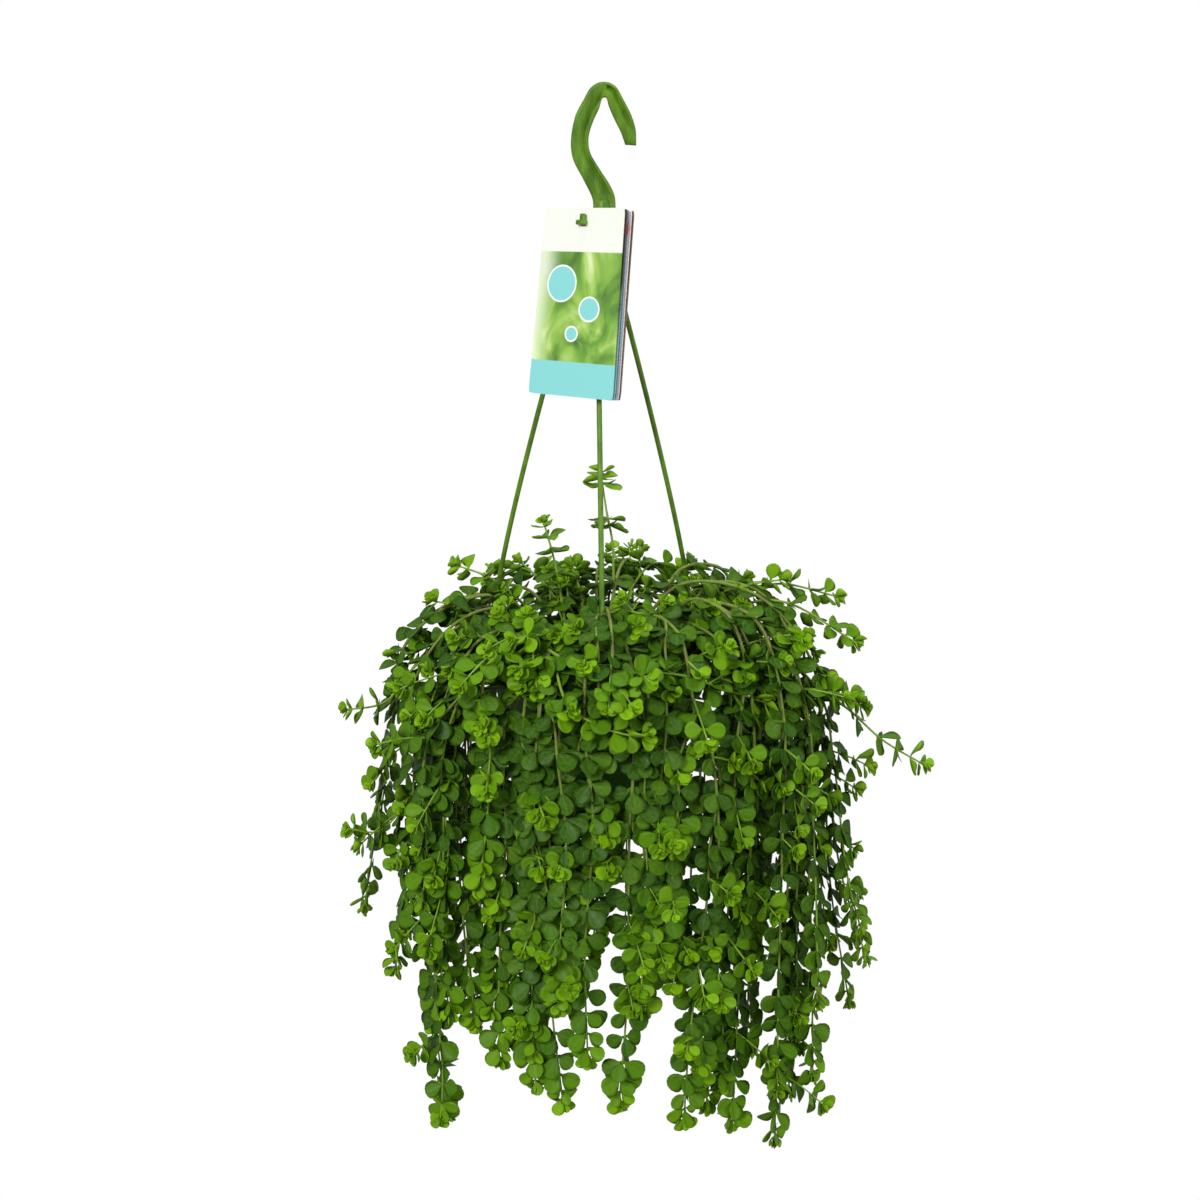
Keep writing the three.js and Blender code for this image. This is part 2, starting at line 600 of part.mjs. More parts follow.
// The tube through a stem's rings, closed at both ends, with the leaves that its whorls have been
// given. The tube turns evenly from each whorl to the next.
function leafyStem(stem, radius = STEM_RADIUS) {
  const turnAt = (share) => {
    const after = stem.whorls.findIndex((whorl) => whorl.share >= share);
    const next = stem.whorls[after] ?? stem.whorls[stem.whorls.length - 1];
    const last = stem.whorls[after - 1] ?? next;
    const part = (share - last.share) / (next.share - last.share || 1);
    return lerp(last.turn, next.turn, part);
  };
  const rings = stem.rings.map(({ share, whorl }, i) => {
    const owner = stem.whorls[whorl ?? stem.rings[i - 1]?.whorl];
    return ringAt(stem, share, owner ? owner.turn : turnAt(share), radius);
  });
  const points = rings.flatMap(({ corners }) => corners);
  const faces = [];
  for (let i = 0; i + 1 < rings.length; i += 1) {
    const whorl = stem.whorls[stem.rings[i].whorl];
    for (let side = 0; side < STEM_SIDES; side += 1) {
      const next = (side + 1) % STEM_SIDES;
      const inRings = [side, next, side + STEM_SIDES, next + STEM_SIDES];
      const root = inRings.map((corner) => i * STEM_SIDES + corner);
      if (whorl?.blades.includes(side)) {
        const first = points.length;
        points.push(...leafPoints(rings[i], rings[i + 1], side, whorl.length, whorl.slant));
        faces.push(...leafFaces(root, [0, 1, 2, 3, 4].map((k) => first + k)));
      } else {
        const [lowA, lowB, upA, upB] = root;
        faces.push([lowA, lowB, upB], [lowA, upB, upA]);
      }
    }
  }
  const top = (rings.length - 1) * STEM_SIDES;
  faces.push([0, 2, 1], [top, top + 1, top + 2]);
  return solid(meshOf(points, faces));
}

const hangerBody = hanger();
const potBody = pot();
const cards = [0, 1, 2, 3, 4].map(card);

// The potting mix, domed a little, with a hole for the root of each stem
function soil() {
  const floor = RIM_TOP - POT_HEIGHT + POT_FLOOR + GAP;
  const side = (z) => wallRadius(z) - POT_WALL - GAP * 1.6;
  const middle = 46;
  const profile = [
    [0, floor], [side(floor), floor], [side(SOIL_LEVEL), SOIL_LEVEL], [middle, soilTop(middle)],
    [0, soilTop(0)],
  ];
  const turned = new THREE.LatheGeometry(profile.map(([r, z]) => new THREE.Vector2(r, z)), SOIL_SIDES);
  turned.rotateX(Math.PI / 2);
  turned.translate(AXIS_X, 0, 0);
  let body = solid(turned);
  for (const { line } of stems) {
    const holeMiddle = line[0].clone();
    holeMiddle.z += 6;
    body = body.subtract(drill(holeMiddle, ROOT_HOLE_RADIUS, 14, 4));
  }
  return body;
}
const soilBody = soil();

// What is in each stem's place so far: its bare tube, then the leaves that it has been given
const bare = { share: 0, turn: 0, blades: [] };
const taken = stems.map((stem) => [leafyStem({ ...stem, whorls: [bare] }, STEM_RADIUS + TUBE_MARGIN)]);
const fixtures = [hangerBody, potBody, soilBody, ...cards];

const boxesTouch = (a, b) => [0, 1, 2].every((i) => a.min[i] <= b.max[i] && b.min[i] <= a.max[i]);

function isFree(body, own) {
  const box = body.boundingBox();
  const others = [...fixtures, ...taken.filter((_, i) => i !== own).flat()];
  return others.every((other) => !boxesTouch(box, other.boundingBox())
    || Math.abs(body.intersect(other).volume()) < 1e-6);
}

// Adds a whorl, trying other turns about the stem until it is clear of everything else. Where none
// is, the leaves that are clear grow and the others don't.
function growWhorl(own, share, length, slant, draw) {
  const stem = stems[own];
  const half = WHORL_HEIGHT / 2 / stem.length;
  const firstTurn = draw() * 2;
  let best = { turn: firstTurn, blades: [], solids: [] };
  for (let attempt = 0; attempt < WHORL_TRIES && best.blades.length < STEM_SIDES; attempt += 1) {
    const turn = firstTurn + attempt * WHORL_TURN;
    const lower = ringAt(stem, share - half, turn);
    const upper = ringAt(stem, share + half, turn);
    const tried = [0, 1, 2].map((side) => leafAlone(lower, upper, side, length * LEAF_ROOM, slant));
    const blades = [0, 1, 2].filter((side) => isFree(tried[side], own));
    if (blades.length > best.blades.length) {
      best = { turn, blades, solids: blades.map((side) => tried[side]) };
    }
  }
  taken[own].push(...best.solids);
  stem.whorls.push({ share, turn: best.turn, blades: best.blades, length, slant });
}

const leafDraw = randomSource(LEAF_SEED);
stems.forEach((stem, i) => {
  growWhorl(i, stem.shares[stem.shares.length - 1], TIP_LEAF_LENGTH, degrees(TIP_SLANT), leafDraw);
});
stems.forEach((stem, i) => {
  for (const share of stem.shares.slice(0, -1)) {
    const slant = degrees(lerp(LEAF_SLANT[0], LEAF_SLANT[1], leafDraw()));
    const length = LEAF_LENGTH * lerp(LEAF_VARIATION[0], LEAF_VARIATION[1], leafDraw());
    growWhorl(i, share, length, slant, leafDraw);
  }
  stem.whorls.push(stem.whorls.shift());
});

const group = new THREE.Group();
group.add(piece('hanger', hangerBody, hangerGreen));
group.add(piece('pot', potBody, potGreen));
group.add(piece('soil', soilBody, soilBrown));
const cardNames = ['card_front_cover', 'card_page_1', 'card_page_2', 'card_page_3', 'card_back_cover'];
cards.forEach((body, i) => {
  const isCover = i === 0 || i === cards.length - 1;
  group.add(piece(cardNames[i], body, isCover ? coverCard : pageCard));
});
stems.forEach((stem, i) => {
  const name = `stem_${String(i + 1).padStart(2, '0')}`;
  group.add(piece(name, leafyStem(stem), leafGreen(0.24 + 0.1 * ((i * 0.37) % 1))));
});

export default group;
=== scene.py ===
# The looks of a trailing peperomia in a plastic pot on a moulded hanger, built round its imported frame.
# Shapes are worked out in millimetres, +Z up and front towards -Y, and put into Blender in metres.
import math

import bmesh
import bpy
import numpy as np
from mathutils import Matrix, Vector, noise


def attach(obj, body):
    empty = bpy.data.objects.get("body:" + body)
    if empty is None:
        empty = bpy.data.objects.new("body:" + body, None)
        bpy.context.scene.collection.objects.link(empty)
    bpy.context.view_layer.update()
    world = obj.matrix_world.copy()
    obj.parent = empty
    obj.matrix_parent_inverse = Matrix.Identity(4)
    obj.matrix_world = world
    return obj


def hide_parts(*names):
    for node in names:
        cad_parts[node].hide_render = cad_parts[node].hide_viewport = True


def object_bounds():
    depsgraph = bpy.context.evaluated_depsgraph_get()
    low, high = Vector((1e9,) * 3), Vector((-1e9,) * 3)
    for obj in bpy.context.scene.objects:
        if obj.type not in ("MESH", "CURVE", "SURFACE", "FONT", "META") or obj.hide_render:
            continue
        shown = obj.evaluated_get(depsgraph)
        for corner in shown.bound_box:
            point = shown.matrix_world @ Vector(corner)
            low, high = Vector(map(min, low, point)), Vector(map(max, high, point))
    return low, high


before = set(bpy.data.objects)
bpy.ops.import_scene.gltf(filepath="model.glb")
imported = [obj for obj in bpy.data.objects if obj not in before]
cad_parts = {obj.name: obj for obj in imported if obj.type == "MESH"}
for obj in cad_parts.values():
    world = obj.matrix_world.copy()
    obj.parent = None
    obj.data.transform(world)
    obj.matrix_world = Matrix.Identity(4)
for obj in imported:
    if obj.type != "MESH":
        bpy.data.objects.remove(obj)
cad_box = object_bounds()

MM = 0.001

# Overall places
AXIS_X = -5
RIM_TOP = -346
GAP = 0.4

# Pot and soil
RIM_RADIUS = 76
RIM_BAND = 12
RIM_WALL = 1.6
POT_HEIGHT = 112
POT_FOOT = RIM_TOP - POT_HEIGHT
POT_WALL = 2
POT_BASE_RADIUS = 54
POT_FLOOR = 6
DRAIN_HOLES = 5
DRAIN_HOLE_RADIUS = 4.5
DRAIN_CIRCLE_RADIUS = 30
SOIL_LEVEL = RIM_TOP - 10
SOIL_DOME = 4
ROOT_DEPTH = 10

# Hanger
HOOK_THICKNESS = 7
GROOVE_DEPTH = 2.7
ARM_RADIUS = 1.65
ARM_AZIMUTHS = [2.7, 125.5, -118.5]
HUB_RADIUS = 9
HUB_TOP = -68
HUB_HEIGHT = 11
NECK_RADIUS = 6.8
NECK_ASIDE = 4.4  # from the pot's axis, under the hook's shank
ARM_BEZIER = ((4, HUB_TOP - 7), (21, -122), (88, -325), (78.6, -342))
CLIP_WIDTH = 8.7
CLIP_RISE = 12
CLIP_LIP = 3.8
LUG_TILT = 8.5
LUG_TURN = 34
LUG_LENGTH = 24
LUG_FRONT = 2.3

# Booklet
CARD_WIDTH = 60.5
CARD_HEIGHT = 112
CARD_THICKNESS = 0.5
CARD_PITCH = 0.95
CARD_FAN = 0.7
CARD_TOP_CENTRE = (-11.9, -22, -64.4)
HOLE_BELOW_TOP = 8.5
HOLE_WIDTH = 3.4
HOLE_HEIGHT = 4.2

# Plant: the lines of the stems
LINE_STEPS = 36
STEM_CLEARANCE = 4.6
ARM_CLEARANCE = 4.6
CLIP_CLEARANCE = 8
STEM_TURN = 0.8
STEM_TURNS = 80
TRAILING_SPACING = 57
CROWN_SPACING = 33
WHORL_HEIGHT = 2.6
BARE_FOOT = 34
TIP_GAP = 20
TUBE_STEP = 26
ARCH_RISE = (12, 46)
TRAIL_ROOT = (22, 54)
TRAIL_SWAY = 22
TRAIL_WAVE = 7
WINDING = 2.2
TRAILING_SEED = 3


# Small sums

def lerp(a, b, t):
    return (1 - t) * a + t * b


def smooth(low, high, x):
    t = np.clip((x - low) / (high - low), 0, 1)
    return t * t * (3 - 2 * t)


def unit(v):
    return v / np.linalg.norm(v)


def around(radius, azimuth, z, aside=0.0):
    """A point from its distance to the pot's axis, azimuth (0 in front, 90 to the right) and height."""
    a = math.radians(azimuth)
    return np.array([
        AXIS_X + radius * math.sin(a) + aside * math.cos(a),
        -radius * math.cos(a) + aside * math.sin(a),
        z,
    ])


def random_source(seed):
    """Seeded draws, from 0 to 1 or between two given values."""
    state = seed

    def draw(low=0, high=1):
        nonlocal state
        state = (state * 1664525 + 1013904223) % 4294967296
        return lerp(low, high, state / 4294967296)

    return draw


def jitter(draw):
    return np.array([draw(), draw(), draw()]) - 0.5


class Spline:
    """A centripetal Catmull-Rom curve through points, read by parameter or by share of its length."""

    def __init__(self, points):
        self.points = np.array(points, float)
        self.parameters = np.linspace(0, 1, 201)
        steps = np.diff(self.at(self.parameters), axis=0)
        self.reached = np.concatenate([[0], np.cumsum(np.linalg.norm(steps, axis=1))])
        self.length = self.reached[-1]

    def at(self, t):
        p = self.points
        count = len(p)
        place = np.clip(np.asarray(t, float), 0, 1) * (count - 1)
        k = np.minimum(place.astype(int), count - 2)
        w = (place - k)[:, None]
        padded = np.vstack([2 * p[0] - p[1], p, 2 * p[-1] - p[-2]])
        p0, p1, p2, p3 = padded[k], padded[k + 1], padded[k + 2], padded[k + 3]
        gaps = ((p0, p1), (p1, p2), (p2, p3))
        d0, d1, d2 = (np.sqrt(np.linalg.norm(b - a, axis=1))[:, None] for a, b in gaps)
        m1 = ((p1 - p0) / d0 - (p2 - p0) / (d0 + d1) + (p2 - p1) / d1) * d1
        m2 = ((p2 - p1) / d1 - (p3 - p1) / (d1 + d2) + (p3 - p2) / d2) * d1
        return p1 + m1 * w + (3 * (p2 - p1) - 2 * m1 - m2) * w ** 2 + (2 * (p1 - p2) + m1 + m2) * w ** 3

    def along(self, shares):
        t = np.interp(np.asarray(shares, float) * self.length, self.reached, self.parameters)
        return self.at(t)


# Meshes

def in_scene(name, data):
    item = bpy.data.objects.new(name, data)
    bpy.context.scene.collection.objects.link(item)
    return item


def new_piece(name, vertices, faces, materials, indices=None, smoothed=True):
    """A piece from vertices in millimetres, with a list of materials and each face's place in it."""
    mesh = bpy.data.meshes.new(name)
    mesh.from_pydata((np.asarray(vertices, float) * MM).tolist(), [], faces)
    for material in materials:
        mesh.materials.append(material)
    if indices is not None:
        mesh.polygons.foreach_set("material_index", np.asarray(indices, np.int32))
    mesh.polygons.foreach_set("use_smooth", np.full(len(mesh.polygons), smoothed))
    mesh.update()
    return in_scene(name, mesh)


def settle(piece, node):
    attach(piece, "root")
    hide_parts(node)


class Builder:
    """Gathers vertices, faces and materials of several closed forms for one piece."""

    def __init__(self):
        self.vertices = []
        self.faces = []
        self.indices = []
        self.count = 0

    def add(self, vertices, faces, index=0):
        """Index is the faces' place in the list of materials, or a list with each face's own."""
        self.vertices.append(np.asarray(vertices, float))
        self.faces += [tuple(self.count + k for k in face) for face in faces]
        self.indices += index if isinstance(index, list) else [index] * len(faces)
        self.count += len(vertices)

    def piece(self, name, materials, smoothed=True):
        return new_piece(name, np.vstack(self.vertices), self.faces, materials, self.indices, smoothed)


def loft(sections):
    """Vertices and faces of a closed body through rings of equal counts, capped at both ends."""
    rings, sides = len(sections), len(sections[0])
    vertices = np.vstack(sections)
    faces = []
    for i in range(rings - 1):
        for j in range(sides):
            k = (j + 1) % sides
            faces.append((i * sides + j, i * sides + k, (i + 1) * sides + k, (i + 1) * sides + j))
    faces.append(tuple(reversed(range(sides))))
    faces.append(tuple((rings - 1) * sides + j for j in range(sides)))
    return vertices, faces


def turned(profile, sides):
    """A body turned about the pot's axis, from a profile that starts and ends on it."""
    angles = np.arange(sides) * 2 * math.pi / sides
    ring = np.stack([np.cos(angles), np.sin(angles)], 1)
    vertices = [[AXIS_X, 0, profile[0][1]]]
    for radius, z in profile[1:-1]:
        vertices.extend([AXIS_X + radius * c, radius * s, z] for c, s in ring)
    vertices.append([AXIS_X, 0, profile[-1][1]])
    last = len(vertices) - 1
    faces = []
    for j in range(sides):
        k = (j + 1) % sides
        faces.append((0, 1 + k, 1 + j))
        faces.append((last, last - sides + j, last - sides + k))
        for i in range(len(profile) - 3):
            a = 1 + i * sides
            faces.append((a + j, a + k, a + sides + k, a + sides + j))
    return np.array(vertices), faces


def rounded(corners, radius, steps=4):
    """A profile whose inner corners are rounded off by arcs of about that radius."""
    out = [corners[0]]
    for before, corner, after in zip(corners, corners[1:], corners[2:]):
        a, b, c = (np.array(p, float) for p in (before, corner, after))
        reach = min(radius, np.linalg.norm(a - b) / 2.2, np.linalg.norm(c - b) / 2.2)
        start, end = b + unit(a - b) * reach, b + unit(c - b) * reach
        for i in range(steps + 1):
            t = i / steps
            out.append(tuple((1 - t) ** 2 * start + 2 * t * (1 - t) * b + t * t * end))
    out.append(corners[-1])
    return out


def outward(piece):
    """Turns all faces of a piece outwards."""
    shape = bmesh.new()
    shape.from_mesh(piece.data)
    bmesh.ops.recalc_face_normals(shape, faces=shape.faces)
    shape.to_mesh(piece.data)
    shape.free()
    return piece


# Materials

class Nodes:
    """Short names for building a material's nodes. An underscore in an input's name is a space."""

    def __init__(self, name):
        self.material = bpy.data.materials.new(name)
        self.material.use_nodes = True
        self.tree = self.material.node_tree
        self.shader = self.tree.nodes["Principled BSDF"]
        self.place = self.tree.nodes.new("ShaderNodeTexCoord").outputs["Object"]

    def new(self, kind, **settings):
        made = self.tree.nodes.new("ShaderNode" + kind)
        for key, value in settings.items():
            setattr(made, key, value)
        return made

    def feed(self, socket, value):
        if isinstance(value, bpy.types.NodeSocket):
            self.tree.links.new(value, socket)
        else:
            socket.default_value = value

    def fill(self, node, **values):
        for name, value in values.items():
            self.feed(node.inputs[name.replace("_", " ")], value)

    def noise(self, scale, detail=3.0, rough=0.5, where=None, distortion=0.0):
        made = self.new("TexNoise")
        self.fill(made, Vector=self.place if where is None else where, Scale=scale, Detail=detail,
                  Roughness=rough, Distortion=distortion)
        return made.outputs["Fac"]

    def stretched(self, scale):
        made = self.new("Mapping")
        self.fill(made, Vector=self.place, Scale=scale)
        return made.outputs["Vector"]

    def ramp(self, value, stops):
        made = self.new("ValToRGB")
        self.fill(made, Fac=value)
        elements = made.color_ramp.elements
        while len(elements) < len(stops):
            elements.new(0.5)
        for element, (position, color) in zip(elements, stops):
            element.position = position
            element.color = (*color, 1)
        return made.outputs["Color"]

    def math(self, operation, a, b=0.0, kind="Math", output=0):
        made = self.new(kind, operation=operation)
        self.feed(made.inputs[0], a)
        self.feed(made.inputs[1], b)
        return made.outputs[output]

    def weigh(self, a, share, b, rest):
        return self.math("ADD", self.math("MULTIPLY", a, share), self.math("MULTIPLY", b, rest))

    def mix(self, factor, a, b):
        made = self.new("Mix", data_type="RGBA")
        a, b = ((*color, 1) if isinstance(color, tuple) else color for color in (a, b))
        self.fill(made, Factor=factor, A=a, B=b)
        return made.outputs["Result"]

    def between(self, value, low, high, to_low=0.0, to_high=1.0):
        made = self.new("MapRange", interpolation_type="SMOOTHSTEP")
        self.fill(made, Value=value, From_Min=low, From_Max=high, To_Min=to_low, To_Max=to_high)
        return made.outputs["Result"]

    def bump(self, height, strength, distance):
        made = self.new("Bump")
        self.fill(made, Strength=strength, Distance=distance, Height=height)
        self.fill(self.shader, Normal=made.outputs["Normal"])

    def attribute(self, name):
        made = self.new("Attribute", attribute_name=name)
        split = self.new("SeparateColor")
        self.fill(split, Color=made.outputs["Color"])
        return [*split.outputs[:3], made.outputs["Alpha"]]

    def finish(self, color, roughness, **constants):
        self.fill(self.shader, Base_Color=color, Roughness=roughness, **constants)
        return self.material


def moulded_plastic(name, dark, light, streaks):
    """Satin moulded plastic with flow streaks, fine grain and a little dust."""
    n = Nodes(name)
    flow = n.noise(1.0, 4, 0.6, n.stretched(streaks), 0.4)
    patches = n.noise(60, 2, 0.5)
    fine = n.noise(2600, 2, 0.6)
    color = n.ramp(n.weigh(flow, 0.75, patches, 0.25), [(0.36, dark), (0.62, light)])
    worn = n.between(n.noise(420, 4, 0.7), 0.62, 0.74, 0, 0.12)
    color = n.mix(worn, color, tuple(min(1, 1.5 * c + 0.04) for c in light))
    n.bump(n.weigh(flow, 0.8, fine, 0.2), 0.25, 0.0003)
    roughness = n.between(n.noise(300, 3, 0.6), 0.3, 0.7, 0.34, 0.5)
    return n.finish(color, roughness, Specular_IOR_Level=0.22)


def leaf_skin(name, old, mature, young, roughness, vein_share):
    """A waxy leaf. The attribute holds its age, its own tone, how far aside of its midrib and how far
    along it a point lies."""
    n = Nodes(name)
    age, tone, aside, along = n.attribute("leaf")
    mottle = n.noise(520, 3, 0.6)
    patch = n.noise(45, 2, 0.5)
    ripe = n.weigh(age, 1.0, n.math("SUBTRACT", tone, 0.5), 0.3)
    growing = tuple(lerp(a, b, 0.55) for a, b in zip(young, mature))
    color = n.ramp(ripe, [(0.0, young), (0.22, growing), (0.5, mature), (0.95, old)])
    light = n.weigh(n.weigh(mottle, 0.3, tone, 0.4), 1.0, patch, 0.3)
    color = n.mix(n.between(light, 0.3, 0.85, 0.0, 0.3), color, young)
    vein = n.between(aside, 0.03, 0.16, vein_share, 0.0)
    vein = n.math("MULTIPLY", vein, n.between(along, 0.45, 0.95, 1.0, 0.15))
    color = n.mix(vein, color, (0.22, 0.34, 0.05))
    edge = n.between(aside, 0.88, 1.0, 0.0, 0.14)
    color = n.mix(edge, color, (0.18, 0.32, 0.03))
    # Wax bloom and painted sheen: a grey green mixed into older leaves in mottled patches, partly the
    # leaves' waxy bloom and partly a painted grey sheen in place of the lamps' reflection.
    bloom_and_painted_sheen = n.math("MULTIPLY", n.between(mottle, 0.35, 0.7, 0.0, 0.05), age)
    color = n.mix(bloom_and_painted_sheen, color, (0.28, 0.40, 0.16))
    side_veins = n.noise(1.0, 1, 0.5, n.stretched((900, 900, 420)), 0.6)
    n.bump(n.weigh(side_veins, 0.6, mottle, 1.0), 0.3, 0.00025)
    rough = n.between(n.noise(260, 2, 0.5), 0.3, 0.7, roughness - 0.05, roughness + 0.08)
    return n.finish(color, rough, Specular_IOR_Level=0.09)


def stem_skin():
    """A stem that is olive brown where it is old and yellow green where it is young."""
    n = Nodes("stem_skin")
    age = n.attribute("leaf")[0]
    blotch = n.noise(170, 3, 0.6)
    streak = n.noise(1.0, 2, 0.5, n.stretched((1500, 1500, 160)), 0.3)
    color = n.ramp(n.weigh(age, 0.75, blotch, 0.45),
                   [(0.15, (0.17, 0.31, 0.020)), (0.6, (0.16, 0.27, 0.025)),
                    (0.98, (0.125, 0.185, 0.025)), (1.0, (0.12, 0.13, 0.03))])
    color = n.mix(n.between(streak, 0.5, 0.72, 0.0, 0.3), color, (0.24, 0.35, 0.06))
    n.bump(streak, 0.3, 0.0003)
    return n.finish(color, n.between(blotch, 0.3, 0.7, 0.4, 0.55), Specular_IOR_Level=0.2)


def potting_mix():
    n = Nodes("potting_mix")
    grain = n.noise(900, 5, 0.7)
    lumps = n.noise(160, 4, 0.6)
    color = n.ramp(n.weigh(grain, 0.5, lumps, 0.5),
                   [(0.32, (0.008, 0.005, 0.003)), (0.55, (0.03, 0.018, 0.010)),
                    (0.72, (0.075, 0.045, 0.024))])
    n.bump(grain, 0.9, 0.001)
    return n.finish(color, 0.92)


def perlite():
    n = Nodes("perlite")
    grain = n.noise(1500, 4, 0.7)
    color = n.ramp(grain, [(0.3, (0.42, 0.40, 0.35)), (0.65, (0.72, 0.70, 0.64))])
    n.bump(grain, 0.6, 0.0006)
    return n.finish(color, 0.85)


def card_place(n):
    """Shares of the card's width from its left edge and of its height from its foot."""
    across, up, _ = card_axes()
    corner = np.array(CARD_TOP_CENTRE) - across * CARD_WIDTH / 2 - up * CARD_HEIGHT
    from_corner = n.math("SUBTRACT", n.place, tuple(corner * MM), "VectorMath")
    shares = (across / (CARD_WIDTH * MM), up / (CARD_HEIGHT * MM))
    return [n.math("DOT_PRODUCT", from_corner, tuple(share), "VectorMath", "Value") for share in shares]


def disc(n, u, v, centre, radius):
    """1 inside a disc on the card, whose radius is a share of the card's width."""
    dx = n.math("SUBTRACT", u, centre[0])
    dy = n.math("MULTIPLY", n.math("SUBTRACT", v, centre[1]), CARD_HEIGHT / CARD_WIDTH)
    square = n.math("ADD", n.math("MULTIPLY", dx, dx), n.math("MULTIPLY", dy, dy))
    return n.between(n.math("SQRT", square), radius - 0.006, radius + 0.006, 1.0, 0.0)


CREAM = (0.74, 0.76, 0.68)
TURQUOISE = (0.205, 0.565, 0.552)
FOOT_BAND = 0.185
FIELD_TOP = 0.77


def cover_print():
    """Cream above, a soft green field with out-of-focus leaves, a turquoise foot and plain discs."""
    n = Nodes("cover_print")
    u, v = card_place(n)
    soft = n.noise(1.0, 3, 0.55, n.stretched((38, 38, 24)), 1.2)
    wide = n.noise(1.0, 2, 0.5, n.stretched((16, 16, 9)), 0.6)
    field = n.ramp(n.weigh(soft, 0.7, wide, 0.3),
                   [(0.34, (0.05, 0.13, 0.02)), (0.45, (0.13, 0.30, 0.03)), (0.54, (0.28, 0.47, 0.08)),
                    (0.62, (0.50, 0.64, 0.26)), (0.72, (0.74, 0.79, 0.60))])
    left_glow = n.between(n.weigh(u, 1.0, soft, 0.3), 0.12, 0.4, 0.75, 0.0)
    field = n.mix(left_glow, field, (0.80, 0.87, 0.68))
    color = n.mix(n.between(v, FIELD_TOP - 0.004, FIELD_TOP + 0.004), field, CREAM)
    color = n.mix(n.between(v, FOOT_BAND - 0.003, FOOT_BAND + 0.003, 1.0, 0.0), color, TURQUOISE)
    for centre, radius in (((0.30, 0.60), 0.17), ((0.66, 0.47), 0.11), ((0.47, 0.335), 0.065)):
        color = n.mix(disc(n, u, v, centre, radius + 0.014), color, (0.93, 0.95, 0.90))
        color = n.mix(disc(n, u, v, centre, radius), color, TURQUOISE)
    fibre = n.noise(1400, 3, 0.6)
    n.bump(fibre, 0.15, 0.0001)
    return n.finish(color, n.between(fibre, 0.3, 0.7, 0.3, 0.42))


def page_print(name, top, foot, spots):
    """A pale page with soft bands of colour and, where spots is above 0, small warm flecks."""
    n = Nodes(name)
    v = card_place(n)[1]
    wash = n.noise(1.0, 3, 0.5, n.stretched((20, 20, 60)), 0.8)
    shade = n.weigh(v, 1.0, n.math("SUBTRACT", wash, 0.5), 0.6)
    color = n.mix(n.between(shade, 0.25, 0.75), foot, top)
    flecks = n.noise(1.0, 2, 0.5, n.stretched((90, 90, 55)), 0.3)
    color = n.mix(n.between(flecks, 0.6, 0.66, 0.0, spots), color, (0.62, 0.12, 0.14))
    n.bump(n.noise(1400, 3, 0.6), 0.15, 0.0001)
    return n.finish(color, n.between(wash, 0.3, 0.7, 0.36, 0.48))


# Hanger

HOOK_OUTER = Spline([
    [-6.9, 0, -67], [-7.2, 0, -60], [-12.7, 0, -48.4], [-18.9, 0, -36.7], [-20.3, 0, -26.5],
    [-17.4, 0, -11.2], [-12.6, 0, -2.4], [-8.4, 0, 4.4], [-3.0, 0, 7.6], [2.8, 0, 7.5], [7.3, 0, 4.6],
    [11, 0, -1.6], [15.8, 0, -10.4], [18.7, 0, -19], [19.2, 0, -28.4],
])
HOOK_INNER = Spline([
    [6.9, 0, -67], [6.3, 0, -58], [3.3, 0, -51.3], [-2.9, 0, -42], [-8.5, 0, -32.7], [-9.7, 0, -25.8],
    [-8.8, 0, -20], [-6.2, 0, -13.1], [-3.2, 0, -7], [-1.1, 0, -1.2], [0.9, 0, -1], [2.6, 0, -6],
    [5.8, 0, -13], [9.8, 0, -20.6], [12.6, 0, -28],
])
HOOK_STATIONS = 110
HOOK_SHARES = [0, 0.03, 0.08, 0.13, 0.17, 0.2, 0.23, 0.27, 0.34, 0.42, 0.5, 0.58, 0.66, 0.73, 0.77,
               0.8, 0.83, 0.87, 0.92, 0.97, 1]


def groove(share, t):
    """Depth of the recess in the hook's faces, at a share of its width and t of its length."""
    left = smooth(0.30, 0.76, share) * (1 - smooth(0.79, 0.83, share))
    left = left * smooth(0.02, 0.10, t) * (1 - smooth(0.585, 0.62, t))
    right = smooth(0.17, 0.21, share) * (1 - smooth(0.24, 0.62, share))
    right = right * smooth(0.625, 0.66, t) * (1 - smooth(0.88, 0.945, t))
    return GROOVE_DEPTH * (left + right)


def hook_sections():
    stations = np.linspace(0, 1, HOOK_STATIONS)
    outer, inner = HOOK_OUTER.at(stations), HOOK_INNER.at(stations)
    shares = np.array(HOOK_SHARES)
    half = HOOK_THICKNESS / 2
    edge = half - 0.9 * (1 - smooth(0, 0.09, shares) * (1 - smooth(0.91, 1, shares)))
    sections = []
    for t, a, b in zip(stations, outer, inner):
        ease = 1 - 0.35 * smooth(0.975, 1, t)
        middle = a + (b - a) * shares[:, None]
        depth = (edge - groove(shares, t)) * ease
        front = middle + np.outer(depth, [0, -1, 0])
        back = (middle + np.outer(depth, [0, 1, 0]))[::-1]
        sections.append(np.vstack([front, back]))
    return sections


def arm_profile(count):
    """Distances from the axis and heights along an arm, from the hub to the rim."""
    t = np.linspace(0, 1, count)[:, None]
    a, b, c, d = (np.array(point, float) for point in ARM_BEZIER)
    return a * (1 - t) ** 3 + 3 * b * t * (1 - t) ** 2 + 3 * c * t ** 2 * (1 - t) + d * t ** 3


def arm_path():
    """The line of an arm and its clip as distances from the axis and heights, from the hub down."""
    bezier = arm_profile(60)
    outside = RIM_RADIUS + GAP + 1.85
    foot = RIM_TOP - RIM_BAND
    lip = [
        [outside, RIM_TOP + 4], [outside + 0.05, RIM_TOP - 4], [outside, foot + 3],
        [outside - 0.2, foot + 0.6], [outside - 1.1, foot - 1.3], [outside - 2.6, foot - 2.1],
        [outside - 4.2, foot - 2.2], [RIM_RADIUS + GAP - CLIP_LIP, foot - 2.0],
    ]
    return np.vstack([bezier[bezier[:, 1] > RIM_TOP + CLIP_RISE], lip])


